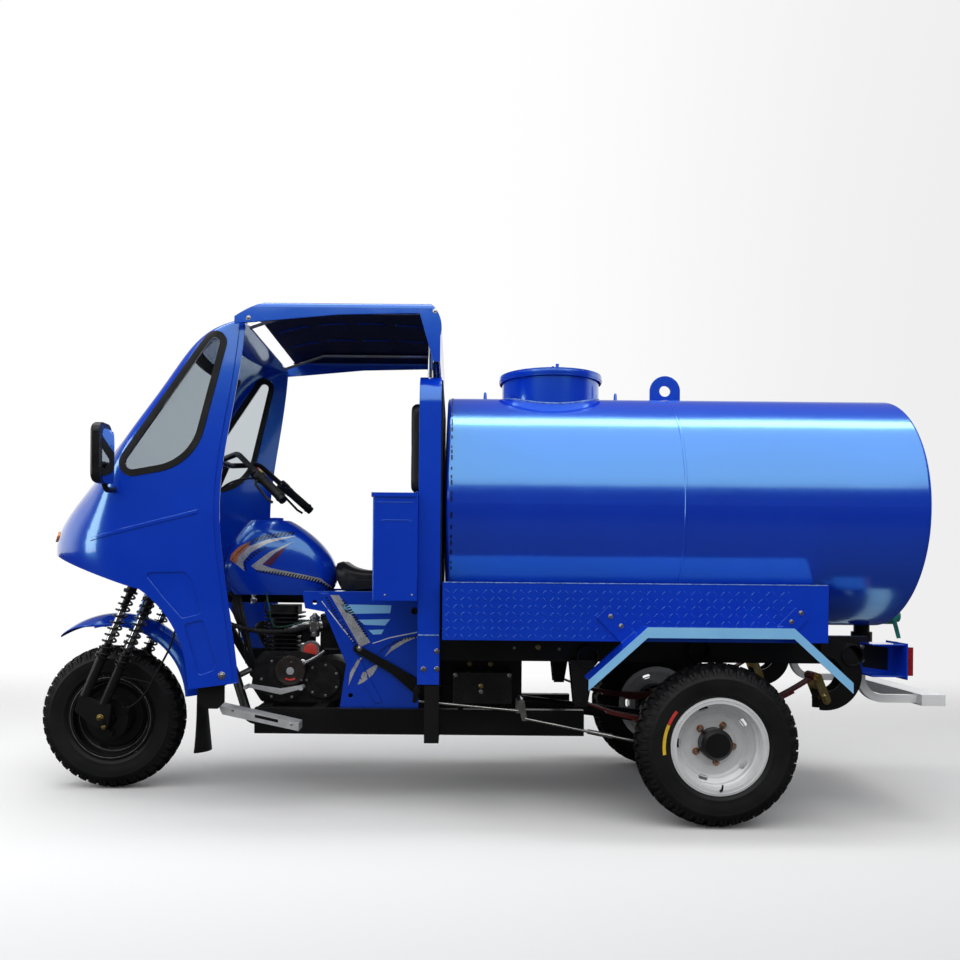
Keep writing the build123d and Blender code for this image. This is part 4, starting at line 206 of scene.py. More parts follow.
def make_materials():
    """Every finish on the machine, by name."""
    made = {
        "blue": surface(
            "blue_gloss_paint", (0.0012, 0.034, 0.560), (0.0018, 0.043, 0.640), (0.16, 0.24), coat=1.0,
            specular=0.9, ior=1.8, gleam=(0.24, 0.78, 1.0), scale=60, wave=(7.0, 0.12, 0.004),
            grain=(900.0, 0.04, 0.0003), rounded=0.0025,
        ),
        "blue_tank": surface(
            "blue_tank_paint", (0.0008, 0.028, 0.600), (0.0014, 0.037, 0.690), (0.15, 0.22), coat=0.6,
            specular=1.0, ior=2.3, gleam=(0.27, 0.76, 1.0), scale=40, patch=1.5, wave=(2.6, 0.28, 0.009),
            grain=(700.0, 0.05, 0.0004), coat_rough=0.05,
        ),
        "blue_pale": surface(
            "light_blue_lip_paint", (0.24, 0.56, 0.93), (0.28, 0.62, 0.96), (0.2, 0.3), coat=1.0, specular=0.3,
            scale=60, patch=6, grain=(700.0, 0.05, 0.0003), rounded=0.0015,
        ),
        "weld": surface(
            "weld_bead_blue", (0.03, 0.12, 0.50), (0.22, 0.38, 0.72), (0.22, 0.4), coat=0.6, scale=200,
            patch=60, grain=(300.0, 0.5, 0.002),
        ),
        "black": surface(
            "black_satin_paint", (0.0045, 0.0045, 0.0050), (0.009, 0.009, 0.010), (0.30, 0.48), coat=0.15,
            coat_rough=0.25, specular=0.35, scale=90, grain=(600.0, 0.12, 0.0006), dust=0.10, rounded=0.0018,
        ),
        "tyre": surface(
            "tyre_rubber", (0.0060, 0.0062, 0.0068), (0.0125, 0.0125, 0.0135), (0.42, 0.62), scale=25,
            specular=0.32, grain=(420.0, 0.25, 0.0008), patch=7, dust=0.10, rounded=0.0012,
        ),
        "silver": surface(
            "silver_wheel_paint", (0.74, 0.75, 0.76), (0.82, 0.83, 0.84), (0.25, 0.40), metal=0.15, coat=0.4,
            scale=50, patch=10, grain=(800.0, 0.08, 0.0004), rounded=0.0015,
        ),
        "spring": surface(
            "spring_steel_black", (0.006, 0.006, 0.007), (0.012, 0.012, 0.013), (0.22, 0.36), coat=0.5,
            specular=0.4, scale=80, patch=20,
        ),
        "leaf": surface(
            "leaf_spring_red", (0.075, 0.004, 0.005), (0.12, 0.009, 0.009), (0.35, 0.55), scale=60, patch=12,
            grain=(300.0, 0.2, 0.0008), dust=0.35, rounded=0.001,
        ),
        "gold": surface(
            "yellow_zinc", (0.50, 0.36, 0.11), (0.74, 0.62, 0.30), (0.22, 0.40), metal=1.0, scale=120, patch=22,
            grain=(500.0, 0.1, 0.0004),
        ),
        "copper": surface(
            "copper_plate", (0.62, 0.30, 0.16), (0.80, 0.46, 0.28), (0.20, 0.36), metal=1.0, scale=160, patch=50,
        ),
        "zinc": surface(
            "zinc_plate", (0.58, 0.57, 0.54), (0.82, 0.81, 0.77), (0.20, 0.38), metal=1.0, scale=140, patch=30,
            grain=(600.0, 0.08, 0.0003),
        ),
        "white": surface(
            "white_paint", (0.84, 0.85, 0.86), (0.90, 0.91, 0.92), (0.25, 0.38), coat=0.4, scale=40, patch=8,
            grain=(500.0, 0.08, 0.0004), rounded=0.0015,
        ),
        "teal": surface(
            "teal_paint", (0.004, 0.12, 0.11), (0.012, 0.26, 0.22), (0.28, 0.42), coat=0.4, scale=50, patch=26,
            grain=(260.0, 0.25, 0.0010), rounded=0.0012,
        ),
        "alloy": surface(
            "cast_aluminium", (0.40, 0.40, 0.41), (0.60, 0.60, 0.60), (0.30, 0.50), metal=0.9, scale=120,
            patch=26, grain=(420.0, 0.35, 0.0010), rounded=0.001,
        ),
        "engine": surface(
            "engine_black_cast", (0.006, 0.006, 0.007), (0.020, 0.020, 0.021), (0.35, 0.55), metal=0.2,
            scale=90, patch=26, specular=0.4, grain=(380.0, 0.35, 0.0010), dust=0.2, rounded=0.0012,
        ),
        "cover_brown": surface(
            "engine_cover_brown", (0.016, 0.011, 0.010), (0.030, 0.021, 0.019), (0.34, 0.50), coat=0.3,
            scale=110, patch=30, grain=(500.0, 0.2, 0.0006),
        ),
        "foot": surface(
            "foot_bar_alloy", (0.66, 0.67, 0.68), (0.80, 0.81, 0.82), (0.25, 0.42), metal=0.5, scale=120,
            patch=26, grain=(420.0, 0.3, 0.0008), rounded=0.001,
        ),
        "chrome": surface(
            "chrome_plate", (0.72, 0.73, 0.74), (0.82, 0.83, 0.84), (0.05, 0.12), metal=1.0, scale=60,
        ),
        "rubber": surface(
            "black_rubber", (0.008, 0.008, 0.009), (0.016, 0.016, 0.017), (0.50, 0.68), scale=60, specular=0.3,
            patch=14, grain=(500.0, 0.2, 0.0006), dust=0.15,
        ),
        "plastic": surface(
            "black_plastic", (0.006, 0.006, 0.007), (0.011, 0.011, 0.012), (0.22, 0.34), scale=80, specular=0.4,
            patch=10, grain=(700.0, 0.10, 0.0004), rounded=0.0015,
        ),
        "exhaust": surface(
            "exhaust_steel", (0.022, 0.020, 0.019), (0.060, 0.052, 0.046), (0.40, 0.60), metal=0.7, scale=60,
            patch=12, dust=0.2,
        ),
        "vinyl": surface(
            "black_vinyl", (0.010, 0.010, 0.011), (0.017, 0.017, 0.018), (0.34, 0.46), scale=60, specular=0.45,
            patch=9, grain=(900.0, 0.35, 0.0006),
        ),
        "amber": surface(
            "amber_lens", (0.75, 0.20, 0.01), (0.85, 0.28, 0.02), (0.10, 0.18), coat=0.8, scale=200, patch=90,
        ),
        "lamp": surface(
            "lamp_lens", (0.66, 0.70, 0.74), (0.72, 0.76, 0.80), (0.05, 0.12), metal=0.5, coat=1.0, scale=160,
            patch=12,
        ),
        "red": surface(
            "red_lens", (0.22, 0.006, 0.008), (0.36, 0.012, 0.012), (0.12, 0.2), coat=0.9, scale=200, patch=120,
            rounded=0.002,
        ),
        "decal_silver": surface(
            "decal_silver", (0.46, 0.47, 0.50), (0.62, 0.63, 0.66), (0.22, 0.34), metal=0.35, coat=0.8,
            scale=300, patch=30,
        ),
        "decal_orange": surface(
            "decal_orange", (0.42, 0.13, 0.045), (0.58, 0.22, 0.09), (0.24, 0.34), coat=0.8, scale=300, patch=30,
        ),
        "decal_black": surface(
            "decal_black", (0.006, 0.006, 0.008), (0.012, 0.012, 0.014), (0.22, 0.32), coat=0.8, scale=300,
            patch=30,
        ),
        "decal_white": surface(
            "decal_white", (0.66, 0.70, 0.76), (0.78, 0.80, 0.84), (0.24, 0.34), coat=0.8, scale=300, patch=30,
        ),
        "decal_shade": surface(
            "decal_shade", (0.06, 0.015, 0.08), (0.16, 0.03, 0.06), (0.24, 0.34), coat=0.8, scale=300, patch=16,
        ),
        # Painted shade: a dark blue that stands for the shadow under the roof, laid on the roof's downward faces.
        "painted_shade_blue": surface(
            "blue_painted_shade_underside", (0.0012, 0.006, 0.045), (0.0020, 0.009, 0.065), (0.45, 0.6), specular=0.25,
            scale=80, patch=5, grain=(500.0, 0.1, 0.0005),
        ),
        "green": surface(
            "green_hose", (0.004, 0.05, 0.03), (0.008, 0.08, 0.05), (0.35, 0.5), scale=80, patch=30,
        ),
        "decal_yellow": surface(
            "label_yellow", (0.80, 0.48, 0.02), (0.88, 0.60, 0.04), (0.4, 0.5), scale=300, patch=60,
        ),
        "decal_red": surface(
            "label_red", (0.60, 0.035, 0.025), (0.70, 0.06, 0.04), (0.4, 0.5), scale=300, patch=60,
        ),
        "mirror": surface(
            "mirror_glass", (0.50, 0.56, 0.66), (0.56, 0.62, 0.72), (0.02, 0.05), metal=1.0, scale=20,
        ),
    }
    glass, tree, shader = new_material("window_glass")
    for socket, value in (
        ("Base Color", (0.54, 0.58, 0.61, 1)), ("Transmission Weight", 1.0), ("IOR", 1.05),
        ("Specular IOR Level", 0.5),
        ("Roughness", mapped(tree, noise_value(tree, 14.0, 5.0), 0.0, 1.0, 0.0, 0.05, "LINEAR")),
    ):
        feed(tree, shader.inputs[socket], value)
    made["glass"] = glass
    return made


NODE_FINISH = {
    "blue": [
        "cab_shell", "roof", "headboard", "side_covers", "tool_boxes", "tool_box_lid_left", "tool_box_lid_right",
        "mudguards", "tank_aprons", "manhole_neck", "manhole_lid", "front_fender", "lifting_lug", "tank_saddles",
        "fuel_tank", "rear_lamps",
    ],
    "blue_tank": ["tank_shell", "tank_heads"],
    "black": [
        "main_frame", "lower_frame", "fork", "fork_clamps", "handlebar", "front_rim", "front_hub", "rear_axle",
        "rear_hub_left", "rear_hub_right", "prop_shaft", "outlet_pipe", "cab_brackets", "hand_lever",
    ],
    "tyre": ["front_tyre", "rear_tyre_left", "rear_tyre_right"],
    "silver": ["rear_rim_left", "rear_rim_right"],
    "spring": ["fork_springs"],
    "leaf": ["leaf_springs"],
    "gold": ["spring_shackles"],
    "white": ["rear_bumper"],
    "teal": ["drain_valve"],
    "glass": ["side_windows", "windscreen"],
    "lamp": ["headlamp"],
    "amber": ["indicators"],
    "vinyl": ["seat", "backrest"],
    "engine": ["engine"],
    "foot": ["foot_steps", "foot_controls"],
    "exhaust": ["exhaust"],
    "plastic": ["battery_box", "mirrors"],
    "rubber": ["mud_flap", "window_seals", "brake_cable"],
    "chrome": ["roof_tubes"],
    "zinc": ["brake_linkage"],
}


def finish_nodes():
    """Each CAD node takes its finish."""
    for finish, names in NODE_FINISH.items():
        for name in names:
            slots = NODES[name].data.materials
            slots.clear()
            slots.append(FINISH[finish])


# ------------------------------------------------------------------ making pieces
def facing(place, normal, spin=0.0):
    """Matrix that stands on the place with its Z along the normal."""
    turn = Vector(normal).normalized().to_track_quat("Z", "Y").to_matrix().to_4x4()
    return Matrix.Translation(place) @ turn @ Matrix.Rotation(spin, 4, "Z")


def round_at(radius, degrees, height=0.0):
    """Point at a radius and an angle round Z."""
    a = math.radians(degrees)
    return Vector((radius * math.cos(a), radius * math.sin(a), height))


class Shape:
    """A mesh in the making, in metres. Each step gives the shape back."""

    def __init__(self):
        self.bm = bmesh.new()

    def ring_faces(self, first, second, closed):
        """Quads between two rows of corners."""
        count = len(first)
        for i in range(count if closed else count - 1):
            j = (i + 1) % count
            corners = [first[i], first[j], second[j], second[i]]
            if len({tuple(corner.co) for corner in corners}) > 2:
                self.bm.faces.new(corners)

    def lathe(self, matrix, profile, steps=24, start=0.0, sweep=2 * math.pi, loop=False):
        """Profile of (radius, height) in metres turned round the matrix's Z."""
        whole = abs(sweep - 2 * math.pi) < 1e-6
        rows = []
        for i in range(steps if whole else steps + 1):
            angle = start + sweep * i / steps
            rows.append([
                self.bm.verts.new(matrix @ Vector((r * math.cos(angle), r * math.sin(angle), h))) for r, h in profile
            ])
        for i in range(len(rows) if whole else len(rows) - 1):
            self.ring_faces(rows[i], rows[(i + 1) % len(rows)], loop)
        if not whole and loop:
            self.bm.faces.new(rows[0])
            self.bm.faces.new(rows[-1][::-1])
        return self

    def prism(self, matrix, outline, low, high):
        """Outline of (x, y) in metres drawn from one height to another along the matrix's Z."""
        rows = [[self.bm.verts.new(matrix @ Vector((x, y, h))) for x, y in outline] for h in (low, high)]
        self.ring_faces(rows[0], rows[1], True)
        self.bm.faces.new(rows[0][::-1])
        self.bm.faces.new(rows[1])
        return self

    def block(self, low, high, matrix=None):
        """Box between two corners, in millimetres."""
        (x0, y0, z0), (x1, y1, z1) = Vector(low) * MM, Vector(high) * MM
        return self.prism(matrix or Matrix(), [(x0, y0), (x1, y0), (x1, y1), (x0, y1)], z0, z1)

    def tube(self, points, radius, steps=10, ends=True):
        """Round bar along points; the radius may be one for each point."""
        points = [Vector(point) for point in points]
        radii = radius if isinstance(radius, (list, tuple)) else [radius] * len(points)
        side = None
        rows = []
        for i, point in enumerate(points):
            ahead = (points[min(i + 1, len(points) - 1)] - points[max(i - 1, 0)]).normalized()
            if side is None:
                side = ahead.orthogonal().normalized()
            side = (side - ahead * side.dot(ahead)).normalized()
            across = ahead.cross(side)
            rows.append([
                self.bm.verts.new(point + (side * math.cos(a) + across * math.sin(a)) * radii[i])
                for a in (2 * math.pi * k / steps for k in range(steps))
            ])
        for first, second in zip(rows, rows[1:]):
            self.ring_faces(first, second, True)
        if ends:
            self.bm.faces.new(rows[0][::-1])
            self.bm.faces.new(rows[-1])
        return self

    def bolt(self, place, normal, size=8.0, tail=True, head="hex", spin=0.3):
        """Bolt head with a washer; size is its half width in millimetres."""
        s = size * MM
        at = facing(place, normal, spin)
        self.lathe(at, [(0, 0.25 * s), (1.30 * s, 0.25 * s), (1.42 * s, 0.16 * s), (1.42 * s, -0.1 * s)], 18)
        if head == "hex":
            self.lathe(at, [(s, 0.2 * s), (s, 0.80 * s), (0.84 * s, 0.95 * s), (0, 0.95 * s)], 6)
            if tail:
                self.lathe(at, [(0.5 * s, 0.9 * s), (0.5 * s, 1.35 * s), (0.38 * s, 1.5 * s), (0, 1.5 * s)], 10)
        else:
            self.lathe(at, [
                (s, 0.2 * s), (0.96 * s, 0.42 * s), (0.78 * s, 0.66 * s), (0.48 * s, 0.80 * s),
                (0.30 * s, 0.82 * s), (0.26 * s, 0.55 * s), (0, 0.55 * s),
            ], 16)

    def done(self, name, finish, body="chassis", angle=35.0, bevel=0.0, recalc=True):
        """Turns the shape into a piece that rides on a body."""
        bmesh.ops.remove_doubles(self.bm, verts=self.bm.verts, dist=1e-6)
        loose = [vert for vert in self.bm.verts if not vert.link_faces]
        bmesh.ops.delete(self.bm, geom=loose, context="VERTS")
        if recalc:
            bmesh.ops.recalc_face_normals(self.bm, faces=self.bm.faces)
        mesh = bpy.data.meshes.new(name)
        self.bm.to_mesh(mesh)
        self.bm.free()
        for face in mesh.polygons:
            face.use_smooth = True
        mesh.set_sharp_from_angle(angle=math.radians(angle))
        piece = linked(name, mesh)
        mesh.materials.append(FINISH[finish])
        if bevel:
            modifier = piece.modifiers.new("bevel", "BEVEL")
            modifier.width = bevel
            modifier.segments = 2
            modifier.limit_method = "ANGLE"
            modifier.angle_limit = math.radians(40)
        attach(piece, body)
        return piece


TREES = {}


def tree_of(node):
    """Search tree of a CAD node's surface."""
    if node not in TREES:
        mesh = NODES[node].data
        TREES[node] = BVHTree.FromPolygons(
            [vert.co.copy() for vert in mesh.vertices], [tuple(face.vertices) for face in mesh.polygons]
        )
    return TREES[node]


def side_of(node, x, z, side=1):
    """Point and normal where a level line from the left or right meets a node; x and z in millimetres."""
    return tree_of(node).ray_cast(Vector((x * MM, side * 0.9, z * MM)), Vector((0, -side, 0)))[:2]


def line_on(node, places, side):
    """Points where level lines through places of (x, z) meet a node; misses are left out."""
    found = [side_of(node, x, z, side)[0] for x, z in places]
    return [place for place in found if place is not None]


def wobble_at(x, y, z):
    """Noise vector from plain noise, which is the same on each run as noise_vector is not."""
    return Vector([noise.noise(Vector((x + shift, y, z))) for shift in (0.0, 17.3, 41.9)])


def smooth_line(points, steps=6):
    """Points along a smooth line through the given ones."""
    points = [Vector(point) for point in points]
    ends = [points[0] * 2 - points[1]] + points + [points[-1] * 2 - points[-2]]
    line = []
    for i in range(1, len(ends) - 2):
        a, b, c, d = ends[i - 1:i + 3]
        for k in range(steps):
            t = k / steps
            line.append(0.5 * (
                2 * b + (c - a) * t + (2 * a - 5 * b + 4 * c - d) * t * t + (3 * b - a - 3 * c + d) * t ** 3
            ))
    return line + [points[-1]]


# ------------------------------------------------------------------ tyres and wheels
def tyre_top(y):
    """Radius of the tyre's tread surface at a distance from its middle, in millimetres."""
    return TYRE_R / MM - 0.4 - 16.2 * (y / 54.0) ** 2


def make_tyre(node, axle, body):
    """Carcass with moulded rings, two rows of shoulder lugs and two of centre blocks."""
    at = facing(axle, LEFT)
    wall = [
        (169.5, 50), (174, 55.0), (181, 58.5), (183, 60.6), (186, 60.6), (188, 60.4), (200, 63.6), (214, 65.3),
        (226, 65.8), (231, 65.6), (232.5, 66.0), (235.5, 66.0), (237, 64.8), (244, 62.2), (251, 57.5), (258, 53.0),
        (263.5, 47), (268.0, 38), (271.5, 22), (273, 0),
    ]
    profile = [(r * MM, y * MM) for r, y in wall] + [(r * MM, -y * MM) for r, y in reversed(wall[:-1])]
    shape = Shape()
    shape.lathe(at, profile, 128)
    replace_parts(shape.done("carcass_of_" + node, "tyre", body, angle=50), node)

    def lug(mesh, outline, low):
        """Outline of (degrees, y in millimetres) raised to the tread surface."""
        middle = Vector((sum(p[0] for p in outline), sum(p[1] for p in outline))) / len(outline)
        rows = []
        for scale, top in ((1.0, False), (0.97, True)):
            row = []
            for degrees, y in outline:
                degrees = middle.x + (degrees - middle.x) * scale
                edge = abs(y) > 55
                y = middle.y + (y - middle.y) * scale
                if edge:
                    y = math.copysign(54.3 if top else 62.4, y)
                r = tyre_top(y) if top else (247.5 if edge else low)
                row.append(mesh.bm.verts.new(at @ (round_at(r, degrees, y) * MM)))
            rows.append(row)
        mesh.ring_faces(rows[0], rows[1], True)
        mesh.bm.faces.new(rows[1])

    shoulder, centre = Shape(), Shape()
    pitches = 40
    for i in range(pitches):
        a = 360.0 * i / pitches
        for side in (1, -1):
            shift = 4.5 if side < 0 else 0.0
            outline = [
                (0.2, 57.6), (2.5, 57.6), (2.7, 52), (3.6, 52), (3.8, 57.6), (5.9, 57.6), (5.9, 44), (4.8, 40),
                (4.8, 27), (2.0, 24), (1.0, 30), (1.0, 38), (0.2, 43),
            ]
            lug(shoulder, [(a + shift + d, side * y) for d, y in outline], 258)
            outline = [(5.9, 19), (8.8, 22), (10.4, 8), (9.8, 2.5), (6.6, 2.5), (5.4, 8)]
            lug(centre, [(a + shift + d, side * y) for d, y in outline], 268)
    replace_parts(shoulder.done("shoulder_lugs_of_" + node, "tyre", body, angle=30), node)
    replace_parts(centre.done("centre_blocks_of_" + node, "tyre", body, angle=30), node)
    ribs = Shape()
    for side in (1, -1):
        for i in range(80):
            low, high = sorted((side * 57.5, side * 60.4))
            turn = Matrix.Rotation(math.radians(4.5 * i + 1.0), 4, "Z")
            ribs.block((249, -1.0, low), (257.5, 1.0, high), at @ turn)
    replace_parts(ribs.done("buttress_ribs_of_" + node, "tyre", body), node)


def face_at(node, at, side, r, degrees, missed):
    """Height of a rim's outer face at a radius in millimetres, in metres from the machine's middle plane."""
    place = tree_of(node).ray_cast(at @ round_at(r * MM, degrees, 0.8), Vector((0, -side, 0)))[0]
    return abs(place.y) if place else missed


def make_rear_wheel(name, side):
    """Pressed rings, nuts, studs, valve and a blank curved label on a rear wheel."""
    body = "rear_wheel_" + name
    axle = Vector(JOINTS["rear_%s_wheel_spin" % name]["pos_m"])
    at = facing(Vector((axle.x, 0, axle.z)), (0, side, 0))
    make_tyre("rear_tyre_" + name, axle, body)
    node = "rear_rim_" + name
    rings = Shape()
    for r, width, height in ((161.5, 2.0, 1.8), (146, 1.8, 1.6), (122, 2.6, 1.6), (104, 2.0, 1.3), (78, 2.4, 1.6)):
        h = face_at(node, at, side, r, 20, 0.52)
        rings.lathe(at, [
            ((r - width) * MM, h - 0.001), ((r - 0.5 * width) * MM, h + height * MM),
            ((r + 0.5 * width) * MM, h + height * MM), ((r + width) * MM, h - 0.001),
        ], 96)
    rings.done("pressed_rings_of_" + node, "silver", body)
    nuts, studs = Shape(), Shape()
    for i in range(5):
        degrees = 72 * i - 10
        spot = round_at(69 * MM, degrees, face_at(node, at, side, 69, degrees, 0.52))
        nuts.bolt(at @ spot, (0, side, 0), 9.5, tail=False)
        studs.lathe(at @ Matrix.Translation(spot), [
            (0.0048, 0.004), (0.0048, 0.0145), (0.0038, 0.0158), (0, 0.0158),
        ], 12)
    nuts.done("wheel_nuts_" + name, "copper", body, angle=28)
    studs.done("wheel_studs_" + name, "zinc", body)
    root = at @ Vector((0.004, -0.150, face_at(node, at, side, 150, -88, 0.52)))
    bend = ((0, 0), (0.010, 0.004), (0.018, 0.013), (0.021, 0.024))
    Shape().tube(
        [root + Vector((0, side * out, up)) for out, up in bend], [0.0050, 0.0044, 0.0036, 0.0030], 10
    ).done("tyre_valve_" + name, "rubber", body)
    for finish, begin, sweep in (("decal_yellow", -8.0, 31.0), ("decal_red", 23.4, 15.6)):
        start = math.radians((180 - begin - sweep) if side > 0 else begin)
        Shape().lathe(at, [(0.1885, 0.5506), (0.1880, 0.5525), (0.1990, 0.5550), (0.1995, 0.5540)], 18, start,
                      math.radians(sweep)).done("blank_label_%s_%s" % (finish[6:], name), finish, body)


def make_front_wheel():
    """Tyre, rim ridges and rim bolts on the front wheel."""
    body = "front_wheel"
    make_tyre("front_tyre", FRONT_AXLE, body)
    for side in (1, -1):
        at = facing(FRONT_AXLE, (0, side, 0))
        rings = Shape()
        for r in (160, 138, 96):
            h = face_at("front_rim", at, side, r, 0, 0.05)
            rings.lathe(at, [
                ((r - 1.6) * MM, h - 0.001), ((r - 0.8) * MM, h + 0.0013), ((r + 0.8) * MM, h + 0.0013),
                ((r + 1.6) * MM, h - 0.001),
            ], 80)
        rings.done("front_rim_rings_%d" % side, "alloy", body)
        bolts = Shape()
        for i in range(6):
            degrees = 60 * i + 12
            spot = round_at(112 * MM, degrees, face_at("front_rim", at, side, 112, degrees, 0.05))
            bolts.bolt(at @ spot, (0, side, 0), 5.5, head="dome")
        bolts.done("front_rim_bolts_%d" % side, "zinc", body)


# ------------------------------------------------------------------ soft seat and backrest
def make_cushion(node, name, cap):
    """Crowned cushion blown up from a shrunken copy of the CAD block."""
    low, high = [Vector(corner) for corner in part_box(node)]
    middle = (low + high) / 2
    mesh = NODES[node].data.copy()
    span = (high - low) / 2
    shrink = cap * 0.4
    for vert in mesh.vertices:
        away = vert.co - middle
        vert.co = middle + Vector([away[i] * max(0.7, 1 - shrink / span[i]) for i in range(3)])
    piece = linked(name, mesh)
    bpy.context.view_layer.objects.active = piece
    modifier = piece.modifiers.new("remesh", "REMESH")
    modifier.mode = "VOXEL"
    modifier.voxel_size = 0.0065
    apply_modifiers(piece)
    start = [vert.co.copy() for vert in piece.data.vertices]
    cloth = piece.modifiers.new("cloth", "CLOTH")
    cloth.settings.use_pressure = True
    cloth.settings.uniform_pressure_force = 4.0
    cloth.settings.effector_weights.gravity = 0.0
    scene = bpy.context.scene
    for number in range(1, 21):
        scene.frame_set(number)
    apply_modifiers(piece)
    scene.frame_set(1)
    for vert, origin in zip(piece.data.vertices, start):
        move = vert.co - origin
        if move.length > cap:
            vert.co = origin + move.normalized() * cap
    for vert in piece.data.vertices:
        vert.co = Vector([min(max(vert.co[i], low[i]), high[i]) for i in range(3)])
    bm = bmesh.new()
    bm.from_mesh(piece.data)
    for _ in range(3):
        bmesh.ops.smooth_vert(bm, verts=bm.verts, factor=0.5, use_axis_x=True, use_axis_y=True, use_axis_z=True)
    bm.to_mesh(piece.data)
    bm.free()
    for face in piece.data.polygons:
        face.use_smooth = True
    modifier = piece.modifiers.new("subdivision", "SUBSURF")
    modifier.levels = modifier.render_levels = 1
    apply_modifiers(piece)
    piece.data.materials.clear()
    piece.data.materials.append(FINISH["vinyl"])
    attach(piece, "chassis")
    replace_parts(piece, node)
    return piece


def apply_modifiers(piece):
    """The piece's mesh becomes what its modifiers make of it."""
    depsgraph = bpy.context.evaluated_depsgraph_get()
    depsgraph.update()
    mesh = bpy.data.meshes.new_from_object(piece.evaluated_get(depsgraph))
    piece.modifiers.clear()
    piece.data = mesh


def seam_round(piece, name, plane, offset, radius):
    """Welt laid on a cushion where a plane cuts it, sorted round the cut's middle."""
    bm = bmesh.new()
    bm.from_mesh(piece.data)
    normal = Vector(plane)
    cut = bmesh.ops.bisect_plane(
        bm, geom=bm.verts[:] + bm.edges[:] + bm.faces[:], plane_co=normal * offset, plane_no=normal
    )["geom_cut"]
    places = [vert.co.copy() for vert in cut if isinstance(vert, bmesh.types.BMVert)]
    bm.free()
    middle = sum(places, Vector()) / len(places)
    first = normal.orthogonal().normalized()
    second = normal.cross(first)
    places.sort(key=lambda place: math.atan2((place - middle).dot(second), (place - middle).dot(first)))
    line = [places[0]]
    for place in places[1:]:
        if (place - line[-1]).length > 0.004:
            line.append(place)
    for _ in range(2):
        line = [(line[i - 1] + line[i] * 2 + line[(i + 1) % len(line)]) / 4 for i in range(len(line))]
    Shape().tube(line + [line[0]], radius, 8, ends=False).done(name, "vinyl")


def make_seats():
    """Seat and backrest with a welt round each."""
    seat = make_cushion("seat", "seat_cushion", 0.012)
    seam_round(seat, "seat_welt", (0, 0, 1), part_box("seat")[0][2] + 0.040, 0.0028)
    back = make_cushion("backrest", "backrest_cushion", 0.009)
    seam_round(back, "backrest_welt", (1, 0, 0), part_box("backrest")[0][0] + 0.018, 0.0022)


# ------------------------------------------------------------------ tank, aprons and mudguards
def pad(shape, matrix, outline, height):
    """Low raised pad that narrows upward; outline and height in millimetres."""
    rows = []
    for scale, h in ((1.0, -0.4), (0.6, height)):
        rows.append([shape.bm.verts.new(matrix @ (Vector((x * scale, y * scale, h)) * MM)) for x, y in outline])
    shape.ring_faces(rows[0], rows[1], True)
    shape.bm.faces.new(rows[1])


def make_tread_plate():
    """Raised bars of the diamond plate on the two aprons."""
    low, high = box_mm("tank_aprons")
    bar = [(-12, 0), (-7, 1.9), (7, 1.9), (12, 0), (7, -1.9), (-7, -1.9)]
    pitch = 26.0
    for end, side in SIDES:
        shape = Shape()
        for i in range(int((high.x - low.x - 110) / pitch)):
            for k in range(9):
                x = high.x - 18 - i * pitch
                z = low.z + 14 + k * pitch
                place, normal = side_of("tank_aprons", x, z, side)
                if place is None or abs(normal.y) < 0.5:
                    continue
                reach = [side_of("tank_aprons", x + dx, z + dz, side)[0] for dx in (11, -11) for dz in (11, -11)]
                if all(other and abs((other - place).dot(normal)) <= 0.002 for other in reach):
                    turn = math.radians(45 if (i + k) % 2 else -45)
                    pad(shape, facing(place, normal, turn), bar, 0.85)
        shape.done("diamond_bars_" + end, "blue", angle=20)


def make_welds():
    """Weld beads on the tank, the manhole neck and the aprons."""
    seam_x = -0.736
    r = TANK_R
    Shape().lathe(facing(Vector((seam_x, 0, TANK_Z)), (1, 0, 0)), [
        (r - 0.001, -0.006), (r + 0.0012, -0.004), (r + 0.0020, 0), (r + 0.0012, 0.004), (r - 0.001, 0.006),
    ], 160).done("tank_seam_rear", "blue_tank")
    low, high = box_mm("manhole_neck")
    centre, radius = (low.x + high.x) / 2, (high.x - low.x) / 2 + 1
    line = []
    for i in range(97):
        a = 2 * math.pi * i / 96
        x, y = centre + radius * math.cos(a), radius * math.sin(a)
        z = TANK_Z / MM + math.sqrt((TANK_R / MM + 1) ** 2 - y * y)
        line.append(mm(x, y, z) + wobble_at(a * 9, 0, 2) * 0.0008)
    Shape().tube(line, 0.0036, 8, ends=False).done("neck_weld", "weld")
    low, high = box_mm("tank_aprons")
    for end, side in SIDES:
        line = []
        for i in range(80):
            x = low.x + 4 + (high.x - low.x - 8) * i / 79
            for z in range(int(high.z) + 2, int(high.z) - 30, -1):
                place, _ = side_of("tank_aprons", x, z, side)
                if place is not None:
                    line.append(place + wobble_at(x * 0.05, side, 0) * 0.0010)
                    break
        Shape().tube(line, 0.0017, 8).done("apron_weld_" + end, "weld")


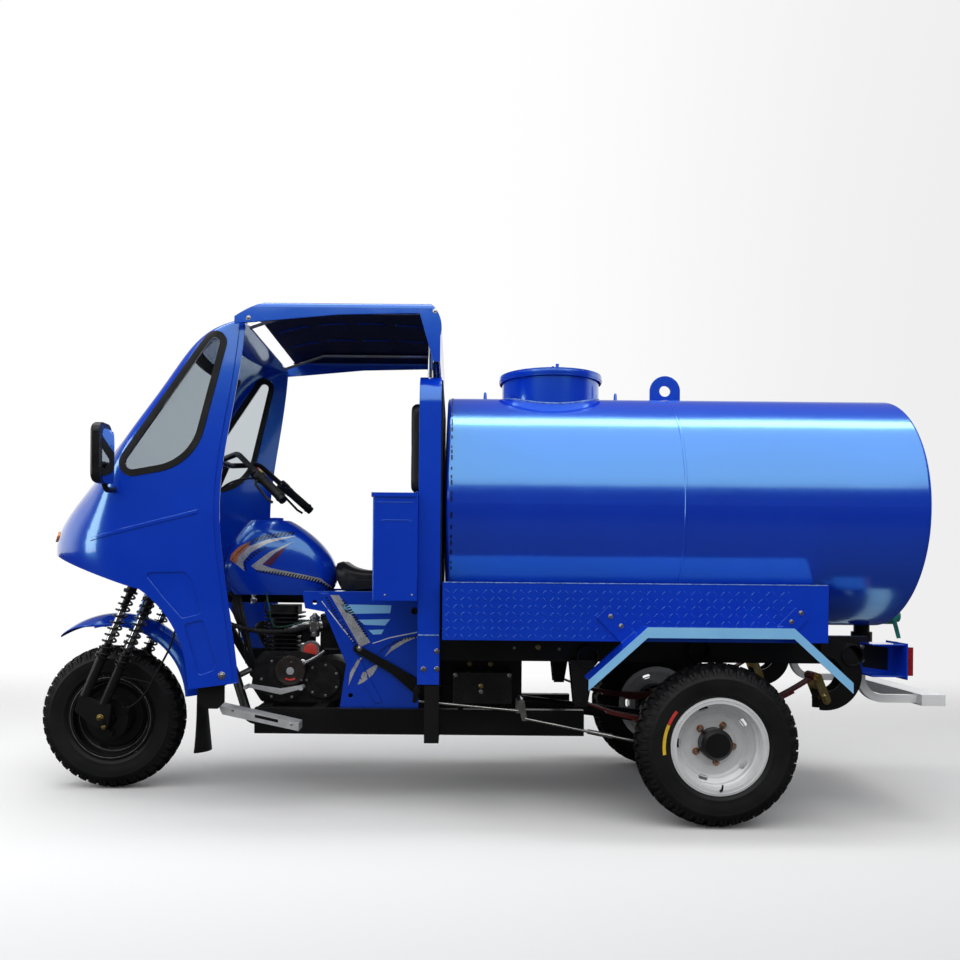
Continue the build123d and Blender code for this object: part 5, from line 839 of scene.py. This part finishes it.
def make_tank_fittings():
    """Head flange marks, top studs and the manhole's clamp band."""
    marks = Shape()
    at = facing(Vector((TANK_HIGH.x, 0, TANK_Z)), (1, 0, 0))
    r = TANK_R
    for i in range(90):
        wobble = noise.noise(Vector((i * 0.83, 1.7, 0.4)))
        a = math.radians(4 * i + wobble * 2)
        depth = 0.0045 + 0.0015 * wobble
        marks.lathe(at, [
            (r + 0.0002, -0.002 - depth), (r + 0.0007, -0.0016 - depth), (r + 0.0007, -0.0014), (r + 0.0002, -0.001),
        ], 3, a, math.radians(1.9 + 1.6 * wobble), loop=True)
    marks.done("head_flange_stitches", "black")
    studs = Shape()
    for x in (-33, -558):
        top = mm(x, 0, TANK_Z / MM + r / MM)
        studs.tube([top, top + Vector((0, 0, 0.028)), top + Vector((0, 0, 0.034))], [0.0075, 0.0060, 0.0030], 14)
        studs.tube([top - Vector((0, 0, 0.001)), top + Vector((0, 0, 0.003))], [0.013, 0.010], 18)
    studs.done("tank_top_studs", "blue")
    low, high = box_mm("manhole_lid")
    Shape().prism(facing(mm(-316, 60, high.z), LEFT), [
        (x * MM, y * MM) for x, y in ((-7, 2), (7, 2), (5, -30), (0, -34), (-4, -30))
    ], -0.0025, 0.0025).done("lid_handle", "blue", "manhole_lid", bevel=0.0008)
    at = facing(mm((low.x + high.x) / 2, 0, low.z + 14), (0, 0, 1))
    r = (high.x - low.x) / 2 * MM
    Shape().lathe(at, [
        (r - 0.002, -0.008), (r + 0.0016, -0.0075), (r + 0.0022, 0), (r + 0.0016, 0.0075), (r - 0.002, 0.008),
    ], 128, math.radians(100), math.radians(350)).done("lid_band", "blue", "manhole_lid")
    clamp = Shape()
    for degrees in (93, 87):
        clamp.block((-10, -3, -2), (10, 3, 20), facing(at @ round_at(r, degrees), round_at(1, degrees)))
    clamp.tube([at @ round_at(r + 0.012, degrees) for degrees in (95.5, 84.5)], 0.0035, 10)
    clamp.done("lid_clamp", "zinc", "manhole_lid", bevel=0.0008)


# ------------------------------------------------------------------ thin layers on CAD surfaces
def decal(name, node, outlines, finish, side, lift):
    """Thin film laid from the side on a node; outlines of (x, z) in millimetres."""
    shape = Shape()
    for outline in outlines:
        shape.bm.faces.new([shape.bm.verts.new((x, 0, z)) for x, z in outline])
    shape.bm.normal_update()
    bmesh.ops.triangulate(shape.bm, faces=shape.bm.faces[:], ngon_method="EAR_CLIP")
    cell = 9.0
    for axis, normal in ((0, Vector((1, 0, 0))), (2, Vector((0, 0, 1)))):
        values = [vert.co[axis] for vert in shape.bm.verts]
        cut = math.floor(min(values) / cell) * cell + cell
        while cut < max(values):
            geometry = shape.bm.verts[:] + shape.bm.edges[:] + shape.bm.faces[:]
            bmesh.ops.bisect_plane(shape.bm, geom=geometry, plane_co=normal * cut, plane_no=normal)
            cut += cell
    for vert in shape.bm.verts:
        x, z = vert.co.x, vert.co.z
        place, normal = side_of(node, x, z, side)
        if place is None:
            place, normal, _, _ = tree_of(node).find_nearest(mm(x, side * 200, z))
        vert.co = place + normal * lift * MM
    shape.done(name, finish, recalc=False)


def hatch(line, count, reach, share):
    """Slanted bars along a line of (x, z); reach is the run of one bar."""
    path = smooth_line([(x, 0, z) for x, z in line], 10)
    lengths = [0.0]
    for first, second in zip(path, path[1:]):
        lengths.append(lengths[-1] + (second - first).length)

    def at(part):
        """Point at a part of the whole length."""
        goal = part * lengths[-1]
        for k in range(len(path) - 1):
            if lengths[k + 1] >= goal:
                t = (goal - lengths[k]) / (lengths[k + 1] - lengths[k])
                return path[k].lerp(path[k + 1], t)
        return path[-1]

    bars = []
    for i in range(count):
        a, b = at(i / count), at((i + share) / count)
        grow = 0.55 + 0.45 * math.sin(math.pi * (i + 0.5) / count)
        dx, dz = reach[0] * grow, reach[1] * grow
        bars.append([(a.x, a.z), (b.x, b.z), (b.x + dx, b.z + dz), (a.x + dx, a.z + dz)])
    return bars


def skin(name, node, finish, pick, body="chassis"):
    """Film over those faces of a node that pick(centre, normal) accepts; the centre is in millimetres."""
    mesh = NODES[node].data
    shape = Shape()
    made = {}
    for face in mesh.polygons:
        if not pick(face.center / MM, face.normal):
            continue
        corners = []
        for index in face.vertices:
            key = (index, tuple(round(part, 1) for part in face.normal))
            if key not in made:
                made[key] = shape.bm.verts.new(mesh.vertices[index].co + face.normal * 0.4 * MM)
            corners.append(made[key])
        shape.bm.faces.new(corners)
    shape.done(name, finish, body, recalc=False)


STRIPES = (
    ("tank_chevron_upper", "fuel_tank", "decal_silver", [
        [(708, 1013), (812, 998), (885, 970), (926, 930), (936, 900), (901, 872), (908, 908), (878, 945), (818, 981)],
    ]),
    ("tank_chevron_nose", "fuel_tank", "decal_orange", [
        [(880, 990), (925, 968), (958, 938), (962, 916), (936, 899), (927, 930), (886, 971)],
    ]),
    ("tank_chevron_lower", "fuel_tank", "decal_silver", [[
        (877, 893), (807, 948), (715, 991), (786, 944), (834, 899), (799, 885), (676, 861), (612, 847), (560, 803),
        (560, 789), (607, 830), (685, 846), (800, 868), (856, 878),
    ]]),
    ("tank_chevron_shade", "fuel_tank", "decal_shade", [
        [(829, 901), (786, 941), (740, 972), (770, 930), (800, 893)],
    ]),
    ("cover_stripe", "side_covers", "decal_silver", [[(556, 785), (522, 785), (402, 607), (440, 588)]]),
    ("cover_line", "side_covers", "decal_white", [
        [(590, 761), (587, 763), (467, 612), (470, 609)],
        [(207, 652), (327, 627), (393, 604), (393, 601), (327, 623), (207, 648)],
    ]),
    ("cover_bars", "side_covers", "blue_pale", [
        [(516, 750), (323, 748), (327, 718), (493, 714)], [(450, 692), (327, 695), (346, 671), (424, 673)],
        [(409, 653), (350, 656), (360, 638), (391, 636)],
    ]),
    ("cover_sweeps", "side_covers", "decal_silver", [
        [(219, 630), (271, 606), (322, 573), (347, 552), (320, 592), (271, 623)],
        [(449, 445), (430, 491), (363, 533), (390, 485), (427, 454)],
        [(446, 546), (478, 491), (484, 440), (462, 491), (432, 549)],
    ]),
)
HATCHES = (
    ("tank_hatch_upper", "fuel_tank", [(958, 908), (925, 944), (876, 980), (800, 1003), (716, 1018)], 18, (-13, 22),
     0.55, 0.8),
    ("tank_hatch_middle", "fuel_tank", [(905, 880), (905, 908), (872, 944), (818, 972)], 10, (-14, -9), 0.5, 0.8),
    ("tank_hatch_lower", "fuel_tank", [(858, 869), (761, 854), (666, 838), (612, 820), (566, 781)], 28, (-10, 15),
     0.5, 0.8),
    ("cover_hatch_front", "side_covers", [(565, 778), (447, 592)], 20, (16, -5), 0.52, 0.6),
    ("cover_hatch_rear", "side_covers", [(512, 764), (416, 622)], 16, (-16, 5), 0.52, 0.8),
    ("cover_hatch_sweep", "side_covers", [(222, 636), (281, 624), (345, 591), (400, 535), (441, 484), (474, 442)],
     26, (13, -18), 0.5, 0.6),
)


def make_decals():
    """Stripes on the fuel tank and the side covers, a plain design in silver, orange and black."""
    for end, side in SIDES:
        for name, node, finish, outlines in STRIPES:
            decal(name + "_" + end, node, outlines, finish, side, 0.5)
        for name, node, line, count, reach, share, lift in HATCHES:
            decal(name + "_" + end, node, hatch(line, count, reach, share), "decal_black", side, lift)
    plugs = Shape()
    for _, side in SIDES:
        for place in line_on("side_covers", ((613, 758), (479, 398), (236, 727)), side):
            plugs.lathe(facing(place, (0, side, 0)), [
                (0.0135, -0.002), (0.0135, 0.0005), (0.0115, 0.0028), (0.0060, 0.0030), (0.0050, 0.0012), (0, 0.0012),
            ], 24)
    plugs.done("cover_plugs", "rubber")


def make_skins():
    """Films that differ from the rest of their node: paint and lens colours, and painted shade on the downward faces
    of the roof and the front fender.
    """
    skin("mudguard_lip", "mudguards", "blue_pale", lambda c, n: abs(c.y) > 600 and abs(n.y) > 0.7)
    # The roof's downward faces get a dark blue film: painted shade under the roof.
    skin("roof_underside_painted_shade", "roof", "painted_shade_blue", lambda c, n: n.z < -0.55 and c.z > 1650)
    skin("rear_lamp_lenses", "rear_lamps", "red", lambda c, n: c.x < -1517)
    skin("engine_covers", "engine", "cover_brown", lambda c, n: c.y > 143.5)
    # The front fender's downward faces get a black film: painted shade under the fender.
    skin("fender_underside_painted_shade", "front_fender", "rubber", lambda c, n: n.z < -0.15, body="steering")


# ------------------------------------------------------------------ small fittings
def side_bolts(name, node, places, size, finish, body="chassis", head="hex", sides=(1,), tail=False):
    """Bolts whose heads lie on a node's side at places of (x, z)."""
    shape = Shape()
    for side in sides:
        for i, (x, z) in enumerate(places):
            place, _ = side_of(node, x, z, side)
            if place is None:
                place = tree_of(node).find_nearest(mm(x, side * 600, z))[0]
            shape.bolt(place, (0, side, 0), size, tail, head, 0.4 * i)
    shape.done(name, finish, body, angle=28)


def make_bolts():
    """Bolts that the eye finds along the machine."""
    both = (1, -1)
    side_bolts("cab_corner_bolts", "cab_shell", [(908, 502)], 9.5, "zinc", head="dome", sides=both)
    side_bolts("roof_corner_screws", "roof", [(820, 1770), (160, 1800)], 6.0, "zinc", head="dome", sides=both)
    side_bolts("post_bolts", "headboard", [(143, 597), (190, 533), (143, 534)], 6.5, "zinc", sides=both)
    side_bolts("strap_bolts", "mudguards", [(-462, 727), (-499, 694), (-1126, 745), (-1093, 714)], 6.0, "zinc",
               sides=both)
    side_bolts("battery_panel_bolts", "battery_box", [(77, 497), (-122, 497), (-18, 436)], 5.5, "zinc")
    side_bolts("battery_brass_bolts", "battery_box", [(-18, 457)], 6.5, "gold")
    side_bolts("frame_brass_bolts", "main_frame", [(-224, 606)], 7.0, "gold", sides=both)
    brass = Shape()
    for x in (23, -57):
        brass.bolt(mm(x, 197, 526), (0, 1, 0), 7.0, tail=False)
    brass.done("panel_brass_bolts", "gold")
    side_bolts("hand_lever_knob", "hand_lever", [(441, 584)], 7.0, "zinc", head="dome")
    side_bolts("frame_small_bolts", "main_frame", [(-136, 603), (-300, 600)], 4.0, "zinc", sides=both)
    side_bolts("hanger_bolts", "leaf_springs", [(-377, 416), (-1258, 437)], 7.0, "gold", sides=both)
    side_bolts("shackle_bolts", "spring_shackles", [(-1250, 440), (-1220, 500)], 7.0, "gold", sides=both, tail=True)
    side_bolts("lamp_bracket_bolts", "rear_lamps", [(-1402, 618), (-1402, 568)], 5.5, "zinc", sides=both)
    side_bolts("tool_box_bolts", "tool_boxes", [(326, 795), (231, 796)], 2.6, "zinc", head="dome", sides=both)
    side_bolts("front_axle_nut", "fork", [(1453, 298)], 10.0, "gold", "steering", sides=both, tail=True)
    side_bolts("front_adjuster_nut", "fork", [(1440, 262)], 6.5, "gold", "steering", sides=both, tail=True)
    side_bolts("fork_gold_bolt", "fork_clamps", [(1234, 721)], 8.0, "gold", "steering", sides=both)


def make_panel_lines():
    """Embossed lines on the tool boxes and weld lines on the posts."""
    for end, side in SIDES:
        shape = Shape()
        for line in (
            [(355, 1119), (300, 1119), (232, 1119)],
            [(339, 1045), (338, 1054), (331, 1057), (285, 1057), (244, 1057), (238, 1054), (237, 1045)],
        ):
            shape.tube(line_on("tool_boxes", line, side), 0.0016, 8)
        shape.done("tool_box_beads_" + end, "blue")
        line = line_on("headboard", [(137 + 74 * i / 11, 653) for i in range(12)], side)
        line = [
            place + wobble_at(i * 0.9, side, 4) * 0.0008 for i, place in enumerate(line)
        ]
        Shape().tube(line, 0.0030, 8).done("post_weld_" + end, "weld")


def make_dark_panels():
    """Plates behind the battery and the tank, the second a black sheet that paints shade on the headboard's panel;
    air box, wires, front drum, fork sleeves and lamp insides.
    """
    Shape().block((-176, 191.5, 384), (131, 196.5, 562)).done("battery_back_plate", "black", bevel=0.0015)
    # Black sheet across the headboard's panel: painted shade on the panel behind the posts.
    Shape().block((129.3, -432, 668), (134.7, 432, 1560)).done("headboard_painted_shade_sheet", "rubber", bevel=0.001)
    box = Shape().block((492, -88, 548), (612, 84, 706))
    box.block((505, -94, 560), (600, 90, 572)).block((505, -94, 684), (600, 90, 694))
    box.done("air_box", "plastic", bevel=0.006)
    loom = Shape()
    for i in range(7):
        sway = wobble_at(i * 1.37, 0.6, 2.1)
        y = 34 + 12 * i
        loom.tube(smooth_line([
            mm(978 - 8 * i, y * 0.6, 782), mm(962 - 9 * i + 14 * sway.x, y, 700),
            mm(935 - 8 * i + 20 * sway.y, y + 6, 610), mm(905 - 7 * i + 16 * sway.z, y + 4, 520),
            mm(862 - 6 * i, y * 0.9, 452),
        ]), 0.0034 + 0.0016 * (i % 3), 10)
    loom.done("wiring_loom", "rubber")
    Shape().lathe(facing(FRONT_AXLE, LEFT), [
        (0.030, -0.016), (0.118, -0.016), (0.121, -0.012), (0.150, -0.010), (0.150, 0.006), (0.121, 0.008),
        (0.118, 0.014), (0.030, 0.016),
    ], 96).done("front_brake_drum", "black", "front_wheel")
    sleeves = Shape()
    for start, aim, z in ((2.4, -1, 0.668), (0.9, 1, 0.637)):
        for _, side in SIDES:
            place = tree_of("fork").ray_cast(Vector((start, side * 0.130, z)), Vector((aim, 0, 0)))[0]
            middle = place + Vector((aim * 0.013 / FORK_UP.z, 0, 0))
            sleeves.tube([middle - FORK_UP * 0.085, middle + FORK_UP * 0.062], 0.0134, 24)
    sleeves.done("fork_bright_sleeves", "chrome", "steering")
    for end, side in SIDES:
        decal("lamp_inside_" + end, "rear_lamps", [
            [(-1402, 630), (-1494, 616), (-1494, 534), (-1402, 545)],
        ], "black", side, 0.6)


def make_engine_fittings():
    """Engine covers and their bolts, carburettor, hoses, fuel tap, kick lever and plug cap."""
    cover_y = 0.158
    at = facing(mm(715, 158, 489), LEFT)
    Shape().lathe(at, [
        (0.0575, -0.012), (0.0575, 0.0005), (0.0555, 0.0028), (0.0480, 0.0036), (0.0465, 0.0022), (0.0240, 0.0026),
        (0.0228, 0.0014), (0, 0.0014),
    ], 72).done("round_cover", "cover_brown")
    Shape().lathe(at, [
        (0.0150, 0.0008), (0.0147, 0.0030), (0.0120, 0.0038), (0, 0.0038),
    ], 48).done("cover_cap", "decal_silver")
    Shape().lathe(at, [
        (0.0300, 0.0020), (0.0302, 0.0032), (0.0370, 0.0032), (0.0372, 0.0020),
    ], 24, math.radians(236), math.radians(68), loop=True).done("cover_red_arc", "decal_red")
    spot = facing(mm(645, 100, 566), LEFT)
    Shape().lathe(spot, [
        (0.036, -0.02), (0.036, 0.014), (0.0345, 0.016), (0.0300, 0.016), (0.0290, 0.013), (0, 0.013),
    ], 48).done("cam_cover_ring", "alloy")
    Shape().lathe(spot, [
        (0.0270, 0.0128), (0.0268, 0.0148), (0.0240, 0.0160), (0, 0.0162),
    ], 40).done("cam_cover_disc", "decal_red")
    bolts = Shape()
    for cx, cz, r, count, size, begin, least in (
        (715, 489, 51, 3, 3.2, 30, cover_y), (751, 455, 79, 6, 3.6, 120, 0), (595, 451, 61, 7, 3.6, 0, 0),
    ):
        for i in range(count):
            turn = round_at(r, begin + 360 / count * i)
            x, z = cx + turn.x, cz + turn.y
            place, _ = side_of("engine", x, z)
            if place is not None:
                bolts.bolt(Vector((x * MM, max(place.y, least), z * MM)), LEFT, size, tail=False)
    bolts.done("engine_cover_bolts", "zinc")
    carb = Shape().tube([mm(680, 84, 662), mm(655, 84, 664), mm(600, 84, 664)], [0.021, 0.019, 0.019], 28)
    carb.lathe(facing(mm(632, 90, 664), (0, 0, -1)), [
        (0.023, 0), (0.023, 0.026), (0.020, 0.030), (0.019, 0.044), (0.013, 0.048), (0, 0.048),
    ], 28)
    carb.lathe(facing(mm(632, 90, 664), (0, 0, 1)), [
        (0.019, 0), (0.019, 0.022), (0.0205, 0.023), (0.0205, 0.032), (0.012, 0.037), (0.006, 0.046), (0, 0.046),
    ], 28)
    carb.block((612, 84, 646), (652, 112, 676))
    for x, z in ((618, 652), (646, 652), (618, 671), (646, 671)):
        carb.bolt(mm(x, 112, z), LEFT, 3.0, tail=False, head="dome")
    carb.done("carburettor", "zinc", bevel=0.0015)
    for name, finish, points, radius, steps, sides in (
        ("intake_boot", "rubber", [(602, 84, 664), (570, 80, 668), (535, 60, 674), (500, 40, 680)], 0.023, 5, 24),
        ("intake_manifold", "alloy", [(678, 84, 662), (700, 80, 655), (735, 55, 645), (760, 30, 640)], 0.017, 5, 20),
        ("ribbed_hose", "rubber", [
            (1015, 32, 672), (975, 80, 664), (939, 116, 658), (863, 128, 642), (778, 130, 638), (712, 128, 643),
            (668, 112, 652), (640, 98, 655),
        ], None, 16, 14),
        ("fuel_hose", "green", [
            (820, 100, 790), (812, 126, 762), (800, 138, 724), (793, 140, 680), (770, 132, 656), (700, 118, 668),
            (652, 108, 684),
        ], 0.0027, 8, 10),
    ):
        line = smooth_line([mm(*point) for point in points], steps)
        ribs = [0.0105 if i % 4 < 2 else 0.0083 for i in range(len(line))]
        Shape().tube(line, radius or ribs, sides).done(name, finish)
    tap = Shape().lathe(facing(mm(874, 90, 790), (0, 0, -1)), [
        (0.011, -0.004), (0.011, 0.012), (0.008, 0.013), (0.008, 0.022), (0.012, 0.024), (0.012, 0.044), (0, 0.046),
    ], 20)
    tap.tube([mm(874, 92, 760), mm(874, 112, 760)], 0.004, 10).block((856, 110, 755), (880, 114, 765))
    tap.done("fuel_tap", "zinc", bevel=0.0008)
    kick = Shape().tube(smooth_line([
        mm(668, 118, 520), mm(668, 150, 521), mm(650, 156, 526), mm(618, 157, 542), mm(583, 157, 568),
    ], 5), [0.0075] * 5 + [0.0068] * 16, 14)
    kick.lathe(facing(mm(668, 150, 521), LEFT), [(0.013, -0.02), (0.013, 0.006), (0.010, 0.008), (0, 0.008)], 24)
    kick.done("kick_lever", "chrome")
    plug = Shape().tube(smooth_line([
        mm(800, 40, 700), mm(820, 72, 706), mm(830, 90, 722), mm(824, 84, 760), mm(800, 60, 800),
    ]), 0.0042, 10)
    plug.lathe(facing(mm(806, 50, 702), (0.5, 0.85, 0.1)), [(0.011, -0.01), (0.011, 0.022), (0.007, 0.03), (0, 0.03)],
               16)
    plug.done("spark_plug_cap", "rubber")


def make_controls():
    """Ribbed grips, switch boxes with small knobs, and the mirrors' glass."""
    for end, side in SIDES:
        start, finish = mm(799, side * 264, 1212), mm(730, side * 306, 1149)
        along = (finish - start).normalized()
        count = 52
        grip = Shape().tube(
            [start.lerp(finish, i / count) for i in range(count + 1)],
            [0.0178 if i % 4 < 2 else 0.0168 for i in range(count + 1)], 24,
        )
        grip.lathe(facing(finish, along), [
            (0.0195, -0.003), (0.0200, 0), (0.0195, 0.004), (0.012, 0.007), (0, 0.007),
        ], 24)
        grip.done("grip_" + end, "rubber", "steering")
        middle = mm(826, side * 245, 1234)
        Shape().lathe(facing(middle, along), [
            (0.0180, -0.022), (0.0225, -0.019), (0.0235, -0.002), (0.0225, 0.001), (0.0235, 0.003), (0.0230, 0.019),
            (0.0185, 0.022),
        ], 28).done("switch_box_" + end, "plastic", "steering")
        for name, shift, colour in (("red", -0.010, "decal_red"), ("pale", 0.0, "decal_silver"),
                                    ("yellow", 0.010, "decal_yellow")):
            spot = facing(middle + along * shift + Vector((-0.008, side * 0.012, 0.019)), (-0.4, side * 0.5, 0.85))
            Shape().lathe(spot, [
                (0.0042, -0.004), (0.0042, 0.0022), (0.0030, 0.0034), (0, 0.0034),
            ], 14).done("switch_%s_%s" % (name, end), colour, "steering")
        glass = Shape()
        corners = []
        for i in range(40):
            c, s = round_at(1, 9 * i).xy
            y = side * (512 + 50 * math.copysign(abs(c) ** 0.35, c))
            z = 1268 + 94 * math.copysign(abs(s) ** 0.35, s)
            place = tree_of("mirrors").ray_cast(mm(1100, y, z), Vector((1, 0, 0)))[0]
            x = place.x - 0.0006 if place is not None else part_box("mirrors")[0][0]
            corners.append(glass.bm.verts.new((x, y * MM, z * MM)))
        glass.bm.faces.new(corners if side < 0 else corners[::-1])
        glass.done("mirror_glass_" + end, "mirror", recalc=False)


def make_foot_parts():
    """Dark slots and screws in the foot bars."""
    for end, side in SIDES:
        slot = [(800, 357), (716, 339), (716, 328), (800, 346)]
        decal("foot_bar_slot_" + end, "foot_steps", [slot], "black", side, 0.5)
        side_bolts("foot_bar_screws_" + end, "foot_steps", [(880, 371), (668, 322)], 3.5, "zinc", sides=(side,),
                   head="dome")


# ------------------------------------------------------------------ stage and light
def choose(tree, switch, no, yes):
    """One of two values or sockets, by a switch of 0 or 1."""
    node = tree.nodes.new("ShaderNodeMix")
    node.data_type = "FLOAT"
    for index, value in ((0, switch), (2, no), (3, yes)):
        feed(tree, node.inputs[index], value)
    return node.outputs[0]


def make_stage():
    """Pale floor that fades into a white world and keeps the shadow; to the eye it is painted darker towards -X and
    towards the camera, a painted falloff of light.
    """
    size = 30.0
    mesh = bpy.data.meshes.new("floor")
    mesh.from_pydata([(-size, -size, 0), (size, -size, 0), (size, size, 0), (-size, size, 0)], [], [(0, 1, 2, 3)])
    floor = linked("floor", mesh)
    material, tree, shader = new_material("studio_floor")
    tree.nodes.remove(shader)
    place = tree.nodes.new("ShaderNodeTexCoord").outputs["Object"]
    split = node_with(tree, "SeparateXYZ", Vector=place).outputs
    path = tree.nodes.new("ShaderNodeLightPath").outputs
    # To the eye the floor is painted darker towards -X and towards the camera: painted falloff of the lamps' light.
    ahead = mapped(tree, split["X"], -1.6, 2.2, 0.80, 1.0, "LINEAR")
    seen = maths(tree, "MULTIPLY", ahead, mapped(tree, split["Y"], 0.2, 2.4, 0.93, 0.66))
    eye = maths(tree, "MAXIMUM", path["Is Camera Ray"], path["Is Transmission Ray"])
    shade = choose(tree, eye, choose(tree, path["Is Glossy Ray"], 0.24, 0.05), seen)
    cloud = mapped(tree, noise_value(tree, 0.6, 2.0), 0.0, 1.0, 0.985, 1.015, "LINEAR")
    vary = maths(tree, "MULTIPLY", shade, cloud)
    grey = node_with(tree, "CombineColor", Red=vary, Green=vary, Blue=vary).outputs["Color"]
    far = tree.nodes.new("ShaderNodeVectorMath")
    far.operation = "LENGTH"
    feed(tree, far.inputs[0], place)
    fade = maths(
        tree, "MAXIMUM", mapped(tree, split["Y"], -1.1, -4.0, 0.0, 1.0),
        mapped(tree, far.outputs["Value"], 3.2, 6.5, 0.0, 1.0),
    )
    mix = tree.nodes.new("ShaderNodeMixShader")
    feed(tree, mix.inputs["Fac"], choose(tree, eye, 0.0, fade))
    feed(tree, mix.inputs[1], node_with(tree, "BsdfDiffuse", Color=grey).outputs["BSDF"])
    feed(tree, mix.inputs[2], tree.nodes.new("ShaderNodeBsdfTransparent").outputs["BSDF"])
    feed(tree, tree.nodes["Material Output"].inputs["Surface"], mix.outputs["Shader"])
    mesh.materials.append(material)


def area_light(name, place, target, width, height, power):
    """Rectangular lamp aimed at a point."""
    data = bpy.data.lights.new(name, "AREA")
    data.shape = "RECTANGLE"
    data.size = width
    data.size_y = height
    data.energy = power
    lamp = linked(name, data)
    aim = (Vector(target) - Vector(place)).to_track_quat("-Z", "Y")
    lamp.matrix_world = Matrix.Translation(place) @ aim.to_matrix().to_4x4()
    return lamp


def make_light():
    """One wide soft box overhead and in front, a strip at the nose, and a world that is white to the eye, painted
    greyer towards -X as a painted falloff of light.
    """
    area_light("soft_box", (0.0, 2.4, 4.25), (0.0, 1.55, 1.38), 9.0, 6.68, 265)
    area_light("top_strip", (0.0, -0.2, 5.3), (0.0, -0.05, 1.5), 8.0, 0.7, 80)
    area_light("nose_strip", (4.6, 1.6, 1.9), (1.3, 0.1, 1.0), 1.0, 2.4, 30)
    world = bpy.data.worlds.new("studio_world")
    bpy.context.scene.world = world
    world.use_nodes = True
    tree = world.node_tree
    way = tree.nodes.new("ShaderNodeTexCoord").outputs["Generated"]
    split = node_with(tree, "SeparateXYZ", Vector=way).outputs
    path = tree.nodes.new("ShaderNodeLightPath").outputs
    # To the eye the backdrop is painted greyer towards -X: painted falloff of light.
    seen = mapped(tree, split["X"], -0.50, 0.0, 0.86, 1.0)
    level = mapped(tree, split["Z"], 0.10, 0.55, 1.0, 0.22)
    shiny = choose(tree, mapped(tree, split["Y"], -0.25, 0.15, 0.0, 1.0), level, 0.035)
    value = choose(tree, path["Is Glossy Ray"], 0.42, shiny)
    for ray in ("Is Transmission Ray", "Is Camera Ray"):
        value = choose(tree, path[ray], value, seen)
    back = tree.nodes["Background"]
    feed(tree, back.inputs["Color"], (1.0, 1.0, 1.0, 1))
    feed(tree, back.inputs["Strength"], value)


# ------------------------------------------------------------------ everything
bpy.context.scene.view_settings.view_transform = "Standard"
FINISH = make_materials()
finish_nodes()
make_camera()
make_stage()
make_light()
for end, sign in SIDES:
    make_rear_wheel(end, sign)
make_front_wheel()
make_seats()
make_tread_plate()
make_welds()
make_tank_fittings()
make_skins()
make_decals()
make_bolts()
make_panel_lines()
make_dark_panels()
make_engine_fittings()
make_controls()
make_foot_parts()
